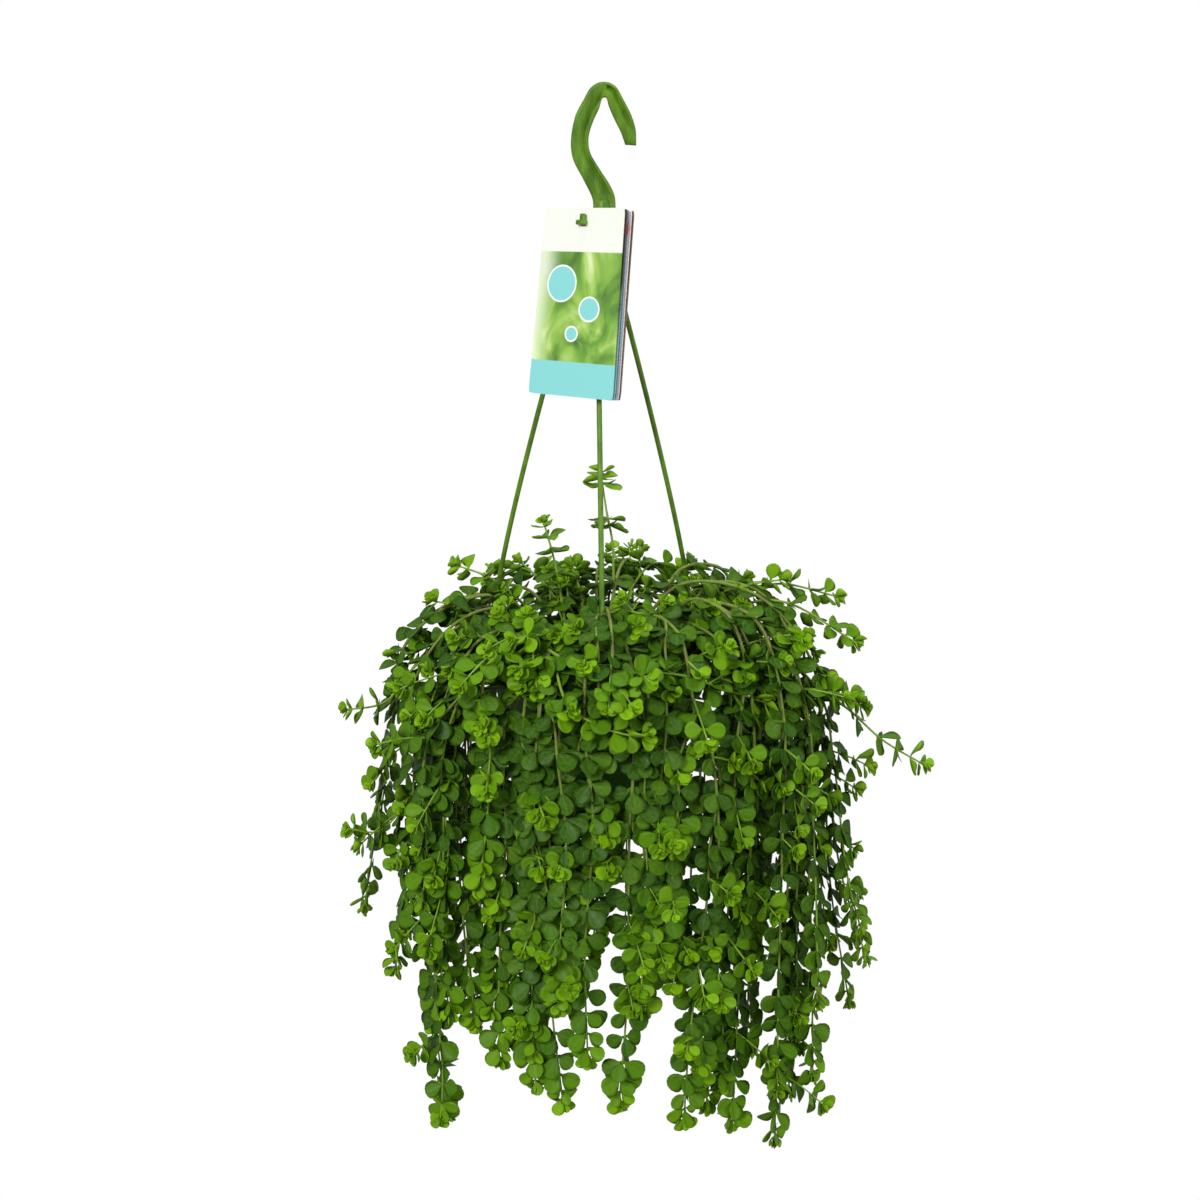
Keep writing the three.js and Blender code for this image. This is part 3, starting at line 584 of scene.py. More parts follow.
def arm_sections(azimuth):
    """Rings that are round along the arm and widen into the flat clip that grips the rim."""
    path = arm_path()
    tangents = np.gradient(path, axis=0)
    heights = path[:, 1]
    widening = smooth(RIM_TOP + CLIP_RISE + 4, RIM_TOP - 1, heights)
    a = math.radians(azimuth)
    radial = np.array([math.sin(a), -math.cos(a), 0])
    level = np.array([math.cos(a), math.sin(a), 0])
    up = np.array([0, 0, 1])
    angles = np.arange(16) * 2 * math.pi / 16
    sections = []
    for (r, z), (tr, tz), wide in zip(path, tangents, widening):
        normal = (radial * -tz + up * tr) / math.hypot(tr, tz)
        below = smooth(RIM_TOP - RIM_BAND, RIM_TOP - RIM_BAND - 2.4, z)
        half_width = lerp(ARM_RADIUS, CLIP_WIDTH / 2, wide) - 0.9 * below
        half_depth = lerp(ARM_RADIUS, 1.7, wide) - 0.35 * below
        power = lerp(1.0, 0.55, wide)
        c, s = np.cos(angles), np.sin(angles)
        x = np.sign(c) * np.abs(c) ** power * half_width
        y = np.sign(s) * np.abs(s) ** power * half_depth
        centre = np.array([AXIS_X, 0, 0]) + radial * r + up * z
        sections.append(centre + np.outer(x, level) + np.outer(y, normal))
    return sections


def card_axes():
    turn, tilt = math.radians(LUG_TURN), math.radians(LUG_TILT)
    across = np.array([math.cos(turn), -math.sin(turn), 0])
    up = np.array([math.sin(turn) * math.sin(tilt), math.cos(turn) * math.sin(tilt), math.cos(tilt)])
    return across, up, np.cross(across, up)


def on_card(points):
    """Points of the booklet's frame, x across, y up and z out of its front, in the part's frame."""
    return np.array(CARD_TOP_CENTRE) + np.asarray(points, float) @ np.array(card_axes())


def rounded_bar(x, y, z, radius, sides=5):
    """A bar along z with rounded edges, between two corners' coordinates in the booklet's frame."""
    left, right, low, high = x[0] + radius, x[1] - radius, y[0] + radius, y[1] - radius
    ring = []
    for quarter, (cx, cy) in enumerate(((right, high), (left, high), (left, low), (right, low))):
        for i in range(sides):
            angle = math.radians(90 * quarter + 90 * i / (sides - 1))
            ring.append((cx + radius * math.cos(angle), cy + radius * math.sin(angle)))
    ring = np.array(ring)
    middle = ring.mean(0)
    levels = ((z[0], 0.82), (z[0] + radius * 0.6, 1), (z[1] - radius * 0.6, 1), (z[1], 0.82))
    return [on_card(np.column_stack([middle + (ring - middle) * spread, np.full(len(ring), level)]))
            for level, spread in levels]


def lug_sections():
    """The lug's shaft, and its barbed head in front of the cards."""
    y = -HOLE_BELOW_TOP
    shaft = rounded_bar((-1.3, 1.3), (y - 1.7, y + 1.7), (LUG_FRONT - LUG_LENGTH, LUG_FRONT), 0.5)
    barb = rounded_bar((-3.6, 3.4), (y - 1.6, y + 1.2), (1.2, 3.2), 0.6)
    spike = rounded_bar((-1.2, 2.6), (y + 0.2, y + 4.9), (1.3, 2.9), 0.6)
    return [shaft, barb, spike]


def hub_profile(radius, top, height):
    return rounded([(0, top - height), (radius, top - height), (radius - 2, top), (0, top)], 1.6)


def hanger():
    body = Builder()
    body.add(*loft(hook_sections()))
    body.add(*turned(hub_profile(HUB_RADIUS, HUB_TOP, HUB_HEIGHT), 40))
    neck, faces = turned(hub_profile(NECK_RADIUS, HUB_TOP + 8, 11), 32)
    neck[:, 0] += NECK_ASIDE
    body.add(neck, faces)
    for azimuth in ARM_AZIMUTHS:
        body.add(*loft(arm_sections(azimuth)))
    for sections in lug_sections():
        body.add(*loft(sections))
    green = moulded_plastic("hanger_green", (0.048, 0.122, 0.005), (0.112, 0.235, 0.012), (160, 160, 45))
    piece = outward(body.piece("hanger_moulding", [green]))
    settle(piece, "hanger")


# Pot

def wall_radius(z):
    share = (z - POT_FOOT) / POT_HEIGHT
    return POT_BASE_RADIUS + (RIM_RADIUS - 4.6 - POT_BASE_RADIUS) * share


def pot():
    foot = POT_FOOT
    floor_top = foot + POT_FLOOR
    profile = [
        (0, foot + 4), (POT_BASE_RADIUS - 9, foot + 4), (POT_BASE_RADIUS - 6, foot), (POT_BASE_RADIUS, foot),
        (wall_radius(foot + 22), foot + 22), (wall_radius(foot + 24) + 0.5, foot + 24),
        (wall_radius(RIM_TOP - 3), RIM_TOP - 3), (RIM_RADIUS - RIM_WALL, RIM_TOP - 3),
        (RIM_RADIUS - RIM_WALL, RIM_TOP - RIM_BAND), (RIM_RADIUS, RIM_TOP - RIM_BAND),
        (RIM_RADIUS, RIM_TOP), (wall_radius(RIM_TOP) - POT_WALL, RIM_TOP),
        (wall_radius(floor_top) - POT_WALL, floor_top), (0, floor_top),
    ]
    body = Builder()
    body.add(*turned(rounded(profile, 1.1), 112))
    green = moulded_plastic("pot_green", (0.028, 0.105, 0.010), (0.07, 0.20, 0.02), (45, 45, 12))
    piece = outward(body.piece("pot_moulding", [green]))
    for i in range(DRAIN_HOLES):
        x, y, z = around(DRAIN_CIRCLE_RADIUS, 360 * i / DRAIN_HOLES, foot + 4) * MM
        bpy.ops.mesh.primitive_cylinder_add(vertices=28, radius=DRAIN_HOLE_RADIUS * MM, depth=20 * MM,
                                            location=(x, y, z))
        drill = bpy.context.object
        cut = piece.modifiers.new("drain", "BOOLEAN")
        cut.object = drill
        cut.operation = "DIFFERENCE"
        cut.solver = "EXACT"
        bpy.context.view_layer.objects.active = piece
        bpy.ops.object.modifier_apply(modifier=cut.name)
        bpy.data.objects.remove(drill)
    settle(piece, "pot")


# Soil

SOIL_RINGS = 26
SOIL_SIDES = 84
CRUMBS = 260
PERLITE_GRAINS = 46


def soil_top(radius):
    return SOIL_LEVEL + SOIL_DOME * (1 - (radius / RIM_RADIUS) ** 2)


def soil_relief(x, y):
    p = Vector((x * 0.11, y * 0.11, 0.3))
    return 1.5 * noise.noise(p) + 0.7 * noise.noise(p * 3.1)


def crumb(builder, centre, size, draw, index):
    """A small angular lump."""
    shape = bmesh.new()
    bmesh.ops.create_icosphere(shape, subdivisions=1, radius=1)
    stretch = np.array([draw(0.6, 1.3), draw(0.6, 1.3), draw(0.45, 0.9)]) * size
    vertices = [np.array(v.co) * stretch * draw(0.75, 1.15) + centre for v in shape.verts]
    faces = [tuple(v.index for v in face.verts) for face in shape.faces]
    shape.free()
    builder.add(vertices, faces, index)


def soil():
    """A domed, crumbly surface on a plain plug, with lumps of bark and perlite half sunk in it."""
    floor = POT_FOOT + POT_FLOOR + GAP
    edge = wall_radius(SOIL_LEVEL) - POT_WALL - GAP * 1.6
    base = wall_radius(floor) - POT_WALL - GAP * 1.6
    profile = [(0, floor), (base, floor), (edge, SOIL_LEVEL - 1)]
    rings = [edge * (1 - i / SOIL_RINGS) for i in range(1, SOIL_RINGS)]
    profile += [(ring, soil_top(ring)) for ring in [*rings, 0]]
    vertices, faces = turned(profile, SOIL_SIDES)
    for vertex in vertices[1 + 2 * SOIL_SIDES:]:
        vertex[2] += soil_relief(vertex[0], vertex[1])
    body = Builder()
    body.add(vertices, faces)
    draw = random_source(29)
    for i in range(CRUMBS + PERLITE_GRAINS):
        radius = (edge - 3) * math.sqrt(draw())
        x, y, _ = around(radius, 360 * draw(), 0)
        size = lerp(0.8, 2.4, draw() ** 2) if i < CRUMBS else draw(0.7, 1.5)
        z = soil_top(radius) + soil_relief(x, y) + size * 0.2
        crumb(body, np.array([x, y, z]), size, draw, 0 if i < CRUMBS else 1)
    piece = outward(body.piece("soil_surface", [potting_mix(), perlite()], smoothed=False))
    settle(piece, "soil")


# Booklet

CARD_BOW = 1.1
PAGE_CURL = 0.9  # how much further back each card's right edge curls than the one before
CARD_TWIST = (4.5, -3)  # degrees at its top and its foot
CORNER = 1.4


def card_lines(size, hole_middle, hole_size, step):
    """Grid lines across a card, with two of them at the edges of its hole."""
    near, far = hole_middle - hole_size / 2, hole_middle + hole_size / 2
    before = np.linspace(0, near, max(2, round(near / step)) + 1)
    after = np.linspace(far, size, max(2, round((size - far) / step)) + 1)
    return np.concatenate([before, after]), len(before) - 1


def card_body(index):
    """A bowed card with a slot for the lug and clipped corners."""
    columns, hole_column = card_lines(CARD_WIDTH, CARD_WIDTH / 2, HOLE_WIDTH, 4.2)
    rows, hole_row = card_lines(CARD_HEIGHT, HOLE_BELOW_TOP, HOLE_HEIGHT, 4.6)
    across, down = np.meshgrid(columns, rows)
    for i, j, dx, dy in ((0, 0, 1, 1), (0, -1, -1, 1), (-1, 0, 1, -1), (-1, -1, -1, -1)):
        across[i, j] += dx * CORNER * 0.3
        down[i, j] += dy * CORNER * 0.3
    share = across / CARD_WIDTH
    rise = CARD_BOW * 4 * share * (1 - share) * smooth(0, 60, down)
    fan = math.radians(CARD_FAN * index)
    x = across * math.cos(fan) - CARD_WIDTH / 2
    twist = np.radians(lerp(*CARD_TWIST, down / CARD_HEIGHT))
    curl = PAGE_CURL * index * share ** 4 * lerp(1, 0.55, down / CARD_HEIGHT)
    depth = -across * math.sin(fan) - CARD_PITCH * index + rise + x * np.tan(twist) - curl
    front = np.stack([x, -down, depth], -1).reshape(-1, 3)
    back = front - np.array([0, 0, CARD_THICKNESS])
    count, width = len(front), len(columns)
    faces = []
    for i in range(len(rows) - 1):
        for j in range(width - 1):
            if (i, j) == (hole_row, hole_column):
                continue
            a = i * width + j
            ring = (a, a + width, a + width + 1, a + 1)
            faces += [ring, tuple(count + k for k in reversed(ring))]
    edges = dict.fromkeys((a, b) for face in faces[::2] for a, b in zip(face, face[1:] + face[:1]))
    faces += [(a, count + a, count + b, b) for a, b in edges if (b, a) not in edges]
    return np.vstack([front, back]), faces


def booklet():
    cover, edge = cover_print(), page_print("back_print", (0.22, 0.10, 0.06), (0.30, 0.16, 0.09), 0.0)
    pages = [
        page_print("page_print_1", (0.10, 0.07, 0.06), (0.30, 0.50, 0.52), 0.0),
        page_print("page_print_2", (0.42, 0.50, 0.56), (0.30, 0.42, 0.50), 0.9),
        page_print("page_print_3", (0.84, 0.87, 0.88), (0.72, 0.78, 0.80), 0.4),
    ]
    nodes = ["card_front_cover", "card_page_1", "card_page_2", "card_page_3", "card_back_cover"]
    for index, (node, finish) in enumerate(zip(nodes, [cover, *pages, edge])):
        vertices, faces = card_body(index)
        name = node.replace("card", "printed")
        piece = outward(new_piece(name, on_card(vertices), faces, [finish], smoothed=False))
        settle(piece, node)


# Plant: the stems' lines, as the frame has them. A stem is given by its azimuth, its root's distance from
# the axis, its sway aside and the distances from the axis and heights that it passes through

UPRIGHT_SHOOT = (60, 15, 0, [(13, -300), (12, -274), (8, -256), (3, -228)])

# Stems that arch over the crown or run out sideways
SPREADING_STEMS = [
    (-125, 24, 2, [(28, -322), (34, -292), (42, -266)]),
    (-105, 32, 4, [(46, -326), (72, -305), (98, -296)]),
    (-88, 44, -4, [(58, -331), (84, -320), (110, -315)]),
    (96, 40, 4, [(56, -328), (92, -310), (128, -305)]),
    (115, 48, 5, [(62, -332), (90, -320), (118, -317)]),
    (102, 50, -6, [(72, -328), (120, -310), (168, -321)]),
    (84, 52, 3, [(70, -328), (118, -312), (172, -340)]),
    (75, 52, 8, [(84, -332), (132, -359), (164, -374), (190, -396), (218, -412)]),
    (-84, 54, 4, [(78, -326), (112, -346), (141, -380), (167, -384)]),
    (-66, 52, -8, [(82, -330), (112, -370), (127, -424), (152, -454), (172, -450)]),
    (-35, 40, 30, [(60, -326), (86, -318), (104, -344)]),
    (38, 42, -34, [(62, -326), (84, -318), (100, -342)]),
    (158, 36, -18, [(52, -326), (84, -310), (120, -322)]),
    (188, 44, 16, [(60, -328), (94, -314), (130, -336)]),
    (-150, 40, 20, [(56, -326), (88, -312), (124, -330)]),
]

# Long branches that cross the front of the crown: the place in the list of stems of the one that each
# belongs to, and the points that it passes through
CROSSING_BRANCHES = [
    (12, [(50, -20, -352), (70, -38, -326), (60, -55, -320), (1, -68, -314), (-38, -70, -318),
          (-84, -62, -338), (-100, -60, -354)]),
    (11, [(-40, -30, -352), (-42, -70, -322), (-20, -92, -327), (12, -99, -331), (42, -96, -333),
          (75, -80, -349), (110, -64, -366)]),
    (11, [(-30, -40, -352), (-30, -86, -330), (-22, -112, -346), (-8, -119, -355), (12, -121, -362),
          (26, -118, -364)]),
]

# Stems that fall from the rim: azimuth, how far out they swing, and the tip's distance and height
TRAILING_TIPS = [
    (-63, 126, 124, -655), (-86, 138, 164, -544), (-70, 130, 146, -556), (-55, 128, 132, -587),
    (-54, 118, 116, -579), (-30, 114, 112, -602), (-31, 112, 110, -613), (-29, 112, 106, -626),
    (-25, 108, 104, -545), (-28, 112, 114, -487), (-52, 130, 134, -507), (-3, 116, 112, -590),
    (13, 114, 108, -625), (11, 110, 104, -514), (16, 112, 106, -547), (36, 118, 112, -642),
    (54, 126, 124, -656), (58, 138, 144, -673), (38, 110, 112, -531), (64, 142, 150, -637),
    (55, 118, 120, -534), (70, 146, 162, -624), (70, 130, 140, -514), (68, 152, 178, -601),
    (84, 154, 188, -559),
]

# The rest of the fall, round the sides and back
BACK_COUNT = 11
BACK_AZIMUTHS = (99, 260)
BACK_SWING = (94, 138)
BACK_DROP = (-520, -680)
BACK_SEED = 7
RIGHT_SHARE = 0.13


def falling_stem(azimuth, swing, tip, draw):
    """Out of the soil, over the rim and down to the tip."""
    rise = RIM_TOP + draw(*ARCH_RISE)
    root = draw(*TRAIL_ROOT)
    sway = draw(-TRAIL_SWAY, TRAIL_SWAY)
    wave = draw(-TRAIL_WAVE, TRAIL_WAVE)
    shoulder = lerp(86, swing, draw(0.1, 0.6))
    drift = draw(-5, 5)
    via = [
        [lerp(root, shoulder, 0.4), rise],
        [shoulder, rise - 4],
        [lerp(shoulder, swing, 0.7) + 3, lerp(rise, tip[1], 0.15)],
        [swing, lerp(rise, tip[1], 0.38)],
        [lerp(swing, tip[0], 0.4) + drift, lerp(rise, tip[1], 0.7)],
        tip,
    ]
    return azimuth, root, sway, via, wave


def trailing_stems():
    draw = random_source(TRAILING_SEED)
    return [falling_stem(azimuth, swing, tip, draw) for azimuth, swing, *tip in TRAILING_TIPS]


def back_stems():
    draw = random_source(BACK_SEED)
    stems = []
    for i in range(BACK_COUNT):
        azimuth = lerp(*BACK_AZIMUTHS, i / (BACK_COUNT - 1))
        to_right = 1 + RIGHT_SHARE * math.sin(math.radians(azimuth))
        swing = to_right * draw(*BACK_SWING)
        tip = (swing - 4, draw(*BACK_DROP))
        stems.append(falling_stem(azimuth, swing, tip, draw))
    return stems


def stem_curve(stem, shift):
    azimuth, root, sway, via = stem[:4]
    wave = stem[4] if len(stem) > 4 else 0
    top = soil_top(root)
    stations = [[root, top - ROOT_DEPTH], [root + 0.5, top + 4], *via]
    points = []
    for i, (radius, z) in enumerate(stations):
        share = max(0, i - 1) / (len(stations) - 2)
        aside = sway * share * share + wave * share * math.sin(WINDING * i)
        points.append(around(radius, azimuth + shift, z, aside))
    return Spline(points)


def arm_curve(azimuth):
    return Spline([around(r, azimuth, z) for r, z in arm_profile(13)])


def nearest(points, line):
    """The least distance between points and a line of straight stretches."""
    a, b = line[:-1], line[1:]
    along = b - a
    offset = points[:, None] - a
    share = np.clip((offset * along).sum(-1) / (along * along).sum(-1), 0, 1)
    return np.linalg.norm(offset - share[..., None] * along, axis=-1).min()


def whorl_shares(length, spacing):
    """Shares of a stem's length at which the frame's solid has its whorls."""
    leafy = length - BARE_FOOT - TIP_GAP
    count = max(1, math.floor(leafy / spacing + 0.5))
    return [(BARE_FOOT + leafy * k / count) / length for k in range(count)] + [1 - WHORL_HEIGHT / length]


def ring_shares(length, spacing):
    """Shares of a stem's length at which the frame's solid has the rings of its tube."""
    half = WHORL_HEIGHT / 2 / length
    rings = [0]
    start = (ROOT_DEPTH + 3) / length
    for whorl, share in enumerate(whorl_shares(length, spacing)):
        stretches = max(1, math.floor((share - start) * length / TUBE_STEP + 0.5))
        for i in range(0 if whorl == 0 else 1, stretches):
            rings.append(lerp(start, share - half, i / stretches))
        rings += [share - half, share + half]
        start = share + half
    return rings


def settled(stem, spacing, placed):
    """Turns a stem about the pot's axis, by growing steps to either side, until it is clear."""
    for step in range(STEM_TURNS):
        shift = (1 if step % 2 else -1) * math.ceil(step / 2) * STEM_TURN
        curve = stem_curve(stem, shift)
        line = curve.along(np.linspace(0, 1, LINE_STEPS + 1))
        places = np.array(ring_shares(curve.length, spacing)) * LINE_STEPS
        corners = np.stack([np.interp(places, np.arange(LINE_STEPS + 1), line[:, k]) for k in range(3)], 1)
        tested = np.vstack([corners[:-1] + (corners[1:] - corners[:-1]) * part for part in (0.33, 0.67, 1)])
        if all(nearest(tested, other) >= keep for other, keep in placed):
            placed.append((corners, STEM_CLEARANCE))
            return curve
    raise ValueError("a stem finds no clear place")


def stem_curves():
    placed = [(arm_curve(azimuth).at(np.linspace(0, 1, 31)), ARM_CLEARANCE) for azimuth in ARM_AZIMUTHS]
    for azimuth in ARM_AZIMUTHS:
        clip_points = [around(RIM_RADIUS + 1, azimuth, RIM_TOP - down) for down in (0, 4, 8)]
        placed.append((np.array(clip_points), CLIP_CLEARANCE))
    crown = [(stem, CROWN_SPACING) for stem in [UPRIGHT_SHOOT, *SPREADING_STEMS]]
    fall = [(stem, TRAILING_SPACING) for stem in [*trailing_stems(), *back_stems()]]
    return [settled(stem, spacing, placed) for stem, spacing in crown + fall]


# Plant: fine leaves and stems on those lines

LEAF = 14.2
TIP_GAPS = [1.2, 2.6, 6.5, 11.5, 15, 18]
TIP_LEAVES = [0.32, 0.5, 0.68, 0.86, 0.96]
SHOOT_WHORLS = [(0.6, 2), (4, 4), (8, 5), (31, 6), (35, 6), (72, 6), (94, 6)]
RIPENING = 85  # length from the tip over which leaves darken
SHOOT_RIPENING = 42
OLD_GAP = (17.5, 24)
CROWN_SHOOTS = 2.2  # times as many side shoots above the rim as below it
LEAF_ROWS = [0, 0.14, 0.3, 0.5, 0.68, 0.83, 0.945, 1.0]
LEAF_HALF_WIDTHS = [0.05, 0.075, 0.27, 0.405, 0.43, 0.36, 0.215]
LEAF_WIDEST = max(LEAF_HALF_WIDTHS)
STEM_RADII = (1.25, 0.55)
BRANCH_RADII = (0.95, 0.55)
WHORL_SWELLING = 1.22
STEP = 3.2
FULL_TURN = 6.28


def leaf_template():
    """A leaf closed all round. Each spot has its shares of length and width, its distance from the midrib
    and its side of the blade; the faces come with their places in the list of materials."""
    spots = []
    for x, half in zip(LEAF_ROWS, LEAF_HALF_WIDTHS):
        spots += [(x, half * v, abs(v), 1) for v in (-1, -0.5, 0, 0.5, 1)]
        spots.append((x, 0, 0, -1))
    spots.append((1.0, 0, 1, 1))
    top, under = [], []
    rows = len(LEAF_HALF_WIDTHS)
    for i in range(rows - 1):
        a, b = 6 * i, 6 * (i + 1)
        top += [(a + j, b + j, b + j + 1, a + j + 1)[::-1] for j in range(4)]
        under += [(a, a + 5, b + 5, b)[::-1], (a + 5, a + 4, b + 4, b + 5)[::-1]]
    a, tip = 6 * (rows - 1), 6 * rows
    top += [(a + j, tip, a + j + 1)[::-1] for j in range(4)]
    under += [(a, a + 5, tip)[::-1], (a + 5, a + 4, tip)[::-1]]
    under.append((0, 1, 2, 3, 4, 5)[::-1])
    return np.array(spots), top + under, [0] * len(top) + [1] * len(under)


LEAF_SPOTS, LEAF_FACES, LEAF_SIDES = leaf_template()


class Foliage:
    """The leaves and stems of one piece, with the attribute that its materials read."""

    def __init__(self):
        self.body = Builder()
        self.marks = []

    def leaf(self, root, direction, face, length, width, cup, bend, age, tone):
        """A blade from its root, along a direction, its upper side facing as near to face as it can."""
        direction = unit(direction)
        normal = unit(face - direction * (face @ direction))
        aside = np.cross(normal, direction)
        x, y, mark, side = LEAF_SPOTS.T
        thick = 0.052 * np.sqrt(np.clip(1 - (2 * x - 1) ** 2, 0, 1)) + 0.03
        height = cup * (np.abs(y) / LEAF_WIDEST) ** 2 * smooth(0.1, 0.45, x) * LEAF_WIDEST + bend * x ** 2
        height = height - np.where(mark == 0, 0.012, 0) - np.where(side < 0, thick, 0)
        points = (root + np.outer(x, direction) * length + np.outer(y * width, aside) * length
                  + np.outer(height, normal) * length)
        self.body.add(points, LEAF_FACES, LEAF_SIDES)
        self.marks.append(np.column_stack([np.full(len(x), age), np.full(len(x), tone), mark, x]))

    def stem(self, points, radii, age, sides=7):
        """A tube through points, with a radius and an age at each."""
        tangents = np.gradient(points, axis=0)
        normal = unit(np.cross(tangents[0], [0.31, 0.17, 0.93]))
        angles = np.arange(sides) * 2 * math.pi / sides
        sections = []
        for point, tangent, radius in zip(points, tangents, radii):
            tangent = unit(tangent)
            normal = unit(normal - tangent * (normal @ tangent))
            other = np.cross(tangent, normal)
            ring = np.outer(np.cos(angles), normal) + np.outer(np.sin(angles), other)
            sections.append(point + radius * ring)
        self.body.add(*loft(sections), 2)
        ages = np.repeat(age, sides)
        half = np.full(len(ages), 0.5)
        along = np.repeat(np.linspace(0, 1, len(points)), sides)
        self.marks.append(np.column_stack([ages, half, half, along]))

    def piece(self, name, materials):
        piece = self.body.piece(name, materials)
        layer = piece.data.color_attributes.new("leaf", "FLOAT_COLOR", "POINT")
        layer.data.foreach_set("color", np.vstack(self.marks).astype(np.float32).ravel())
        return piece


def facing(point, along, tipness):
    """Where the upper sides of leaves at a point turn: up on the crown, outwards on the fall, and
    forwards along the stem at its tip."""
    out = np.array([point[0] - AXIS_X, point[1], 0])
    radius = np.linalg.norm(out)
    out = out / max(radius, 1)
    hanging = smooth(RIM_TOP + 14, RIM_TOP - 46, point[2])
    outwards = lerp(0.35 * min(1, radius / 60), 0.9, hanging)
    light = unit(np.array([0, 0, lerp(1, 0.5, hanging)]) + out * outwards)
    return unit(light * (1 - 0.45 * tipness) + unit(along + np.array([0, 0, 0.25])) * 0.6 * tipness)


def whorl_places(length, bare, draw):
    """Distances from a stem's start of its whorls, from the tip back, with their steps from the tip."""
    if bare is None:
        return [(length - back, step) for back, step in SHOOT_WHORLS]
    places = []
    at = length - 0.6
    step = 0
    while at > bare:
        places.append((at, step))
        gap = TIP_GAPS[step] if step < len(TIP_GAPS) else draw(*OLD_GAP)
        at -= gap * draw(0.88, 1.14)
        step += 1
    return places


ROOM = np.array(cad_box) / MM + np.array([[-3.0], [3.0]])
DOME_TOP = -288
DOME_FALL = (46, 24)  # at 120 mm to the left and to the right of the axis
DOME_MARGIN = 12
ARM_ROOM = 3.2


def above_dome(point, margin=0):
    """True where only the tips that stand out of the crown reach."""
    aside = point[0] - AXIS_X
    fall = DOME_FALL[0] if aside < 0 else DOME_FALL[1]
    return point[2] > DOME_TOP + margin - fall * (aside / 120) ** 2 - 12 * (point[1] / 100) ** 2


def blocked(point):
    """True in the pot, in the soil, at an arm or outside the room that the frame's box leaves."""
    if (point < ROOM[0]).any() or (point > ROOM[1]).any():
        return True
    radius = math.hypot(point[0] - AXIS_X, point[1])
    if point[2] < soil_top(0) + 1.5 and radius < wall_radius(max(point[2], POT_FOOT)) + 2.5:
        return point[2] > POT_FOOT - 3
    if RIM_TOP - RIM_BAND - 2 < point[2] < RIM_TOP + 2 and abs(radius - RIM_RADIUS) < 4:
        return True
    return any(np.linalg.norm(line - point, axis=1).min() < ARM_ROOM for line in ARM_LINES)


ARM_LINES = [arm_curve(azimuth).along(np.linspace(0, 1, 120)) for azimuth in ARM_AZIMUTHS]


def grow(foliage, points, radii, draw, bare, base_age, shoots, ripening=RIPENING, domed=True):
    """A stem through evenly spaced points, with its radii at both ends, whorls of leaves and shoots."""
    radii = np.linspace(*radii, len(points))
    steps = np.linalg.norm(np.diff(points, axis=0), axis=1)
    reached = np.concatenate([[0], np.cumsum(steps)])
    length = reached[-1]
    tangents = np.gradient(points, axis=0)
    age = np.clip((length - reached) / (1.4 * ripening), 0, 1) * base_age
    swell = np.ones(len(points))
    turn = draw() * FULL_TURN
    for at, step in whorl_places(length, bare, draw):
        k = min(len(points) - 2, int(np.searchsorted(reached, at)))
        point = np.array([np.interp(at, reached, points[:, c]) for c in range(3)])
        along = unit(tangents[k])
        swell[k] = WHORL_SWELLING
        tipness = max(0.0, 1 - step / 5)
        size = LEAF * (TIP_LEAVES[step] if step < len(TIP_LEAVES) else 1)
        count = 4 if draw() < 0.3 or step < 2 else 3
        turn += math.pi / count + 0.25 * (draw() - 0.5)
        face = facing(point, along, tipness)
        ref = unit(np.cross(along, [0.2, 0.1, 1.0]))
        other = np.cross(along, ref)
        own_age = base_age * min(1.0, ((length - at) / ripening) ** 0.8)
        high = smooth(RIM_TOP - 46, RIM_TOP + 14, point[2])
        for i in range(count):
            angle = turn + 2 * math.pi * i / count
            radial = ref * math.cos(angle) + other * math.sin(angle)
            mosaic = draw(0.35, 0.9) * (1 - 0.7 * tipness)
            rise = draw(0.1, 0.5) + 1.1 * max(0, 1 - step / 3)
            direction = radial + along * rise
            direction = direction - face * (direction @ face) * mosaic
            direction = direction + np.array([0, 0, -0.25]) * (1 - tipness)
            scatter = lerp(0.5, 1.15, high)
            turned_face = unit(face + scatter * jitter(draw) + along * 0.15)
            leaf_length = size * draw(0.82, 1.12)
            direction = unit(direction)
            far = point + direction * leaf_length * 0.75
            near = point + direction * leaf_length * 0.4
            if blocked(far) or blocked(near) or (domed and above_dome(far, DOME_MARGIN)):
                continue
            foliage.leaf(point + direction * radii[k] * 0.4, direction, turned_face, leaf_length,
                         draw(0.88, 1.08), draw(0.06, 0.42), draw(-0.14, 0.16),
                         own_age, draw())
        chance = shoots * (CROWN_SHOOTS if point[2] > RIM_TOP - 8 else 1)
        if step > 4 and draw() < chance:
            side_shoot(foliage, point, along, face, radii[k], base_age, draw)
    foliage.stem(points, radii * swell, age)


def side_shoot(foliage, point, along, face, radius, base_age, draw):
    """A short branch from a whorl, out towards the light and then over under its own weight."""
    heading = unit(face * draw(0.3, 0.8) + along * 0.7 + 0.9 * jitter(draw))
    length = draw(12, 40)
    count = max(5, int(length / STEP))
    points = [point]
    while len(points) <= count:
        points.append(points[-1] + heading * length / count)
        heading = unit(heading + np.array([0, 0, -0.05]) + face * 0.02)
    points = np.array(points)
    if any(blocked(p) or above_dome(p) for p in points[2:]):
        return
    grow(foliage, points, (min(0.8, radius * 0.8), 0.45), draw, 6, base_age * 0.85, 0, SHOOT_RIPENING)


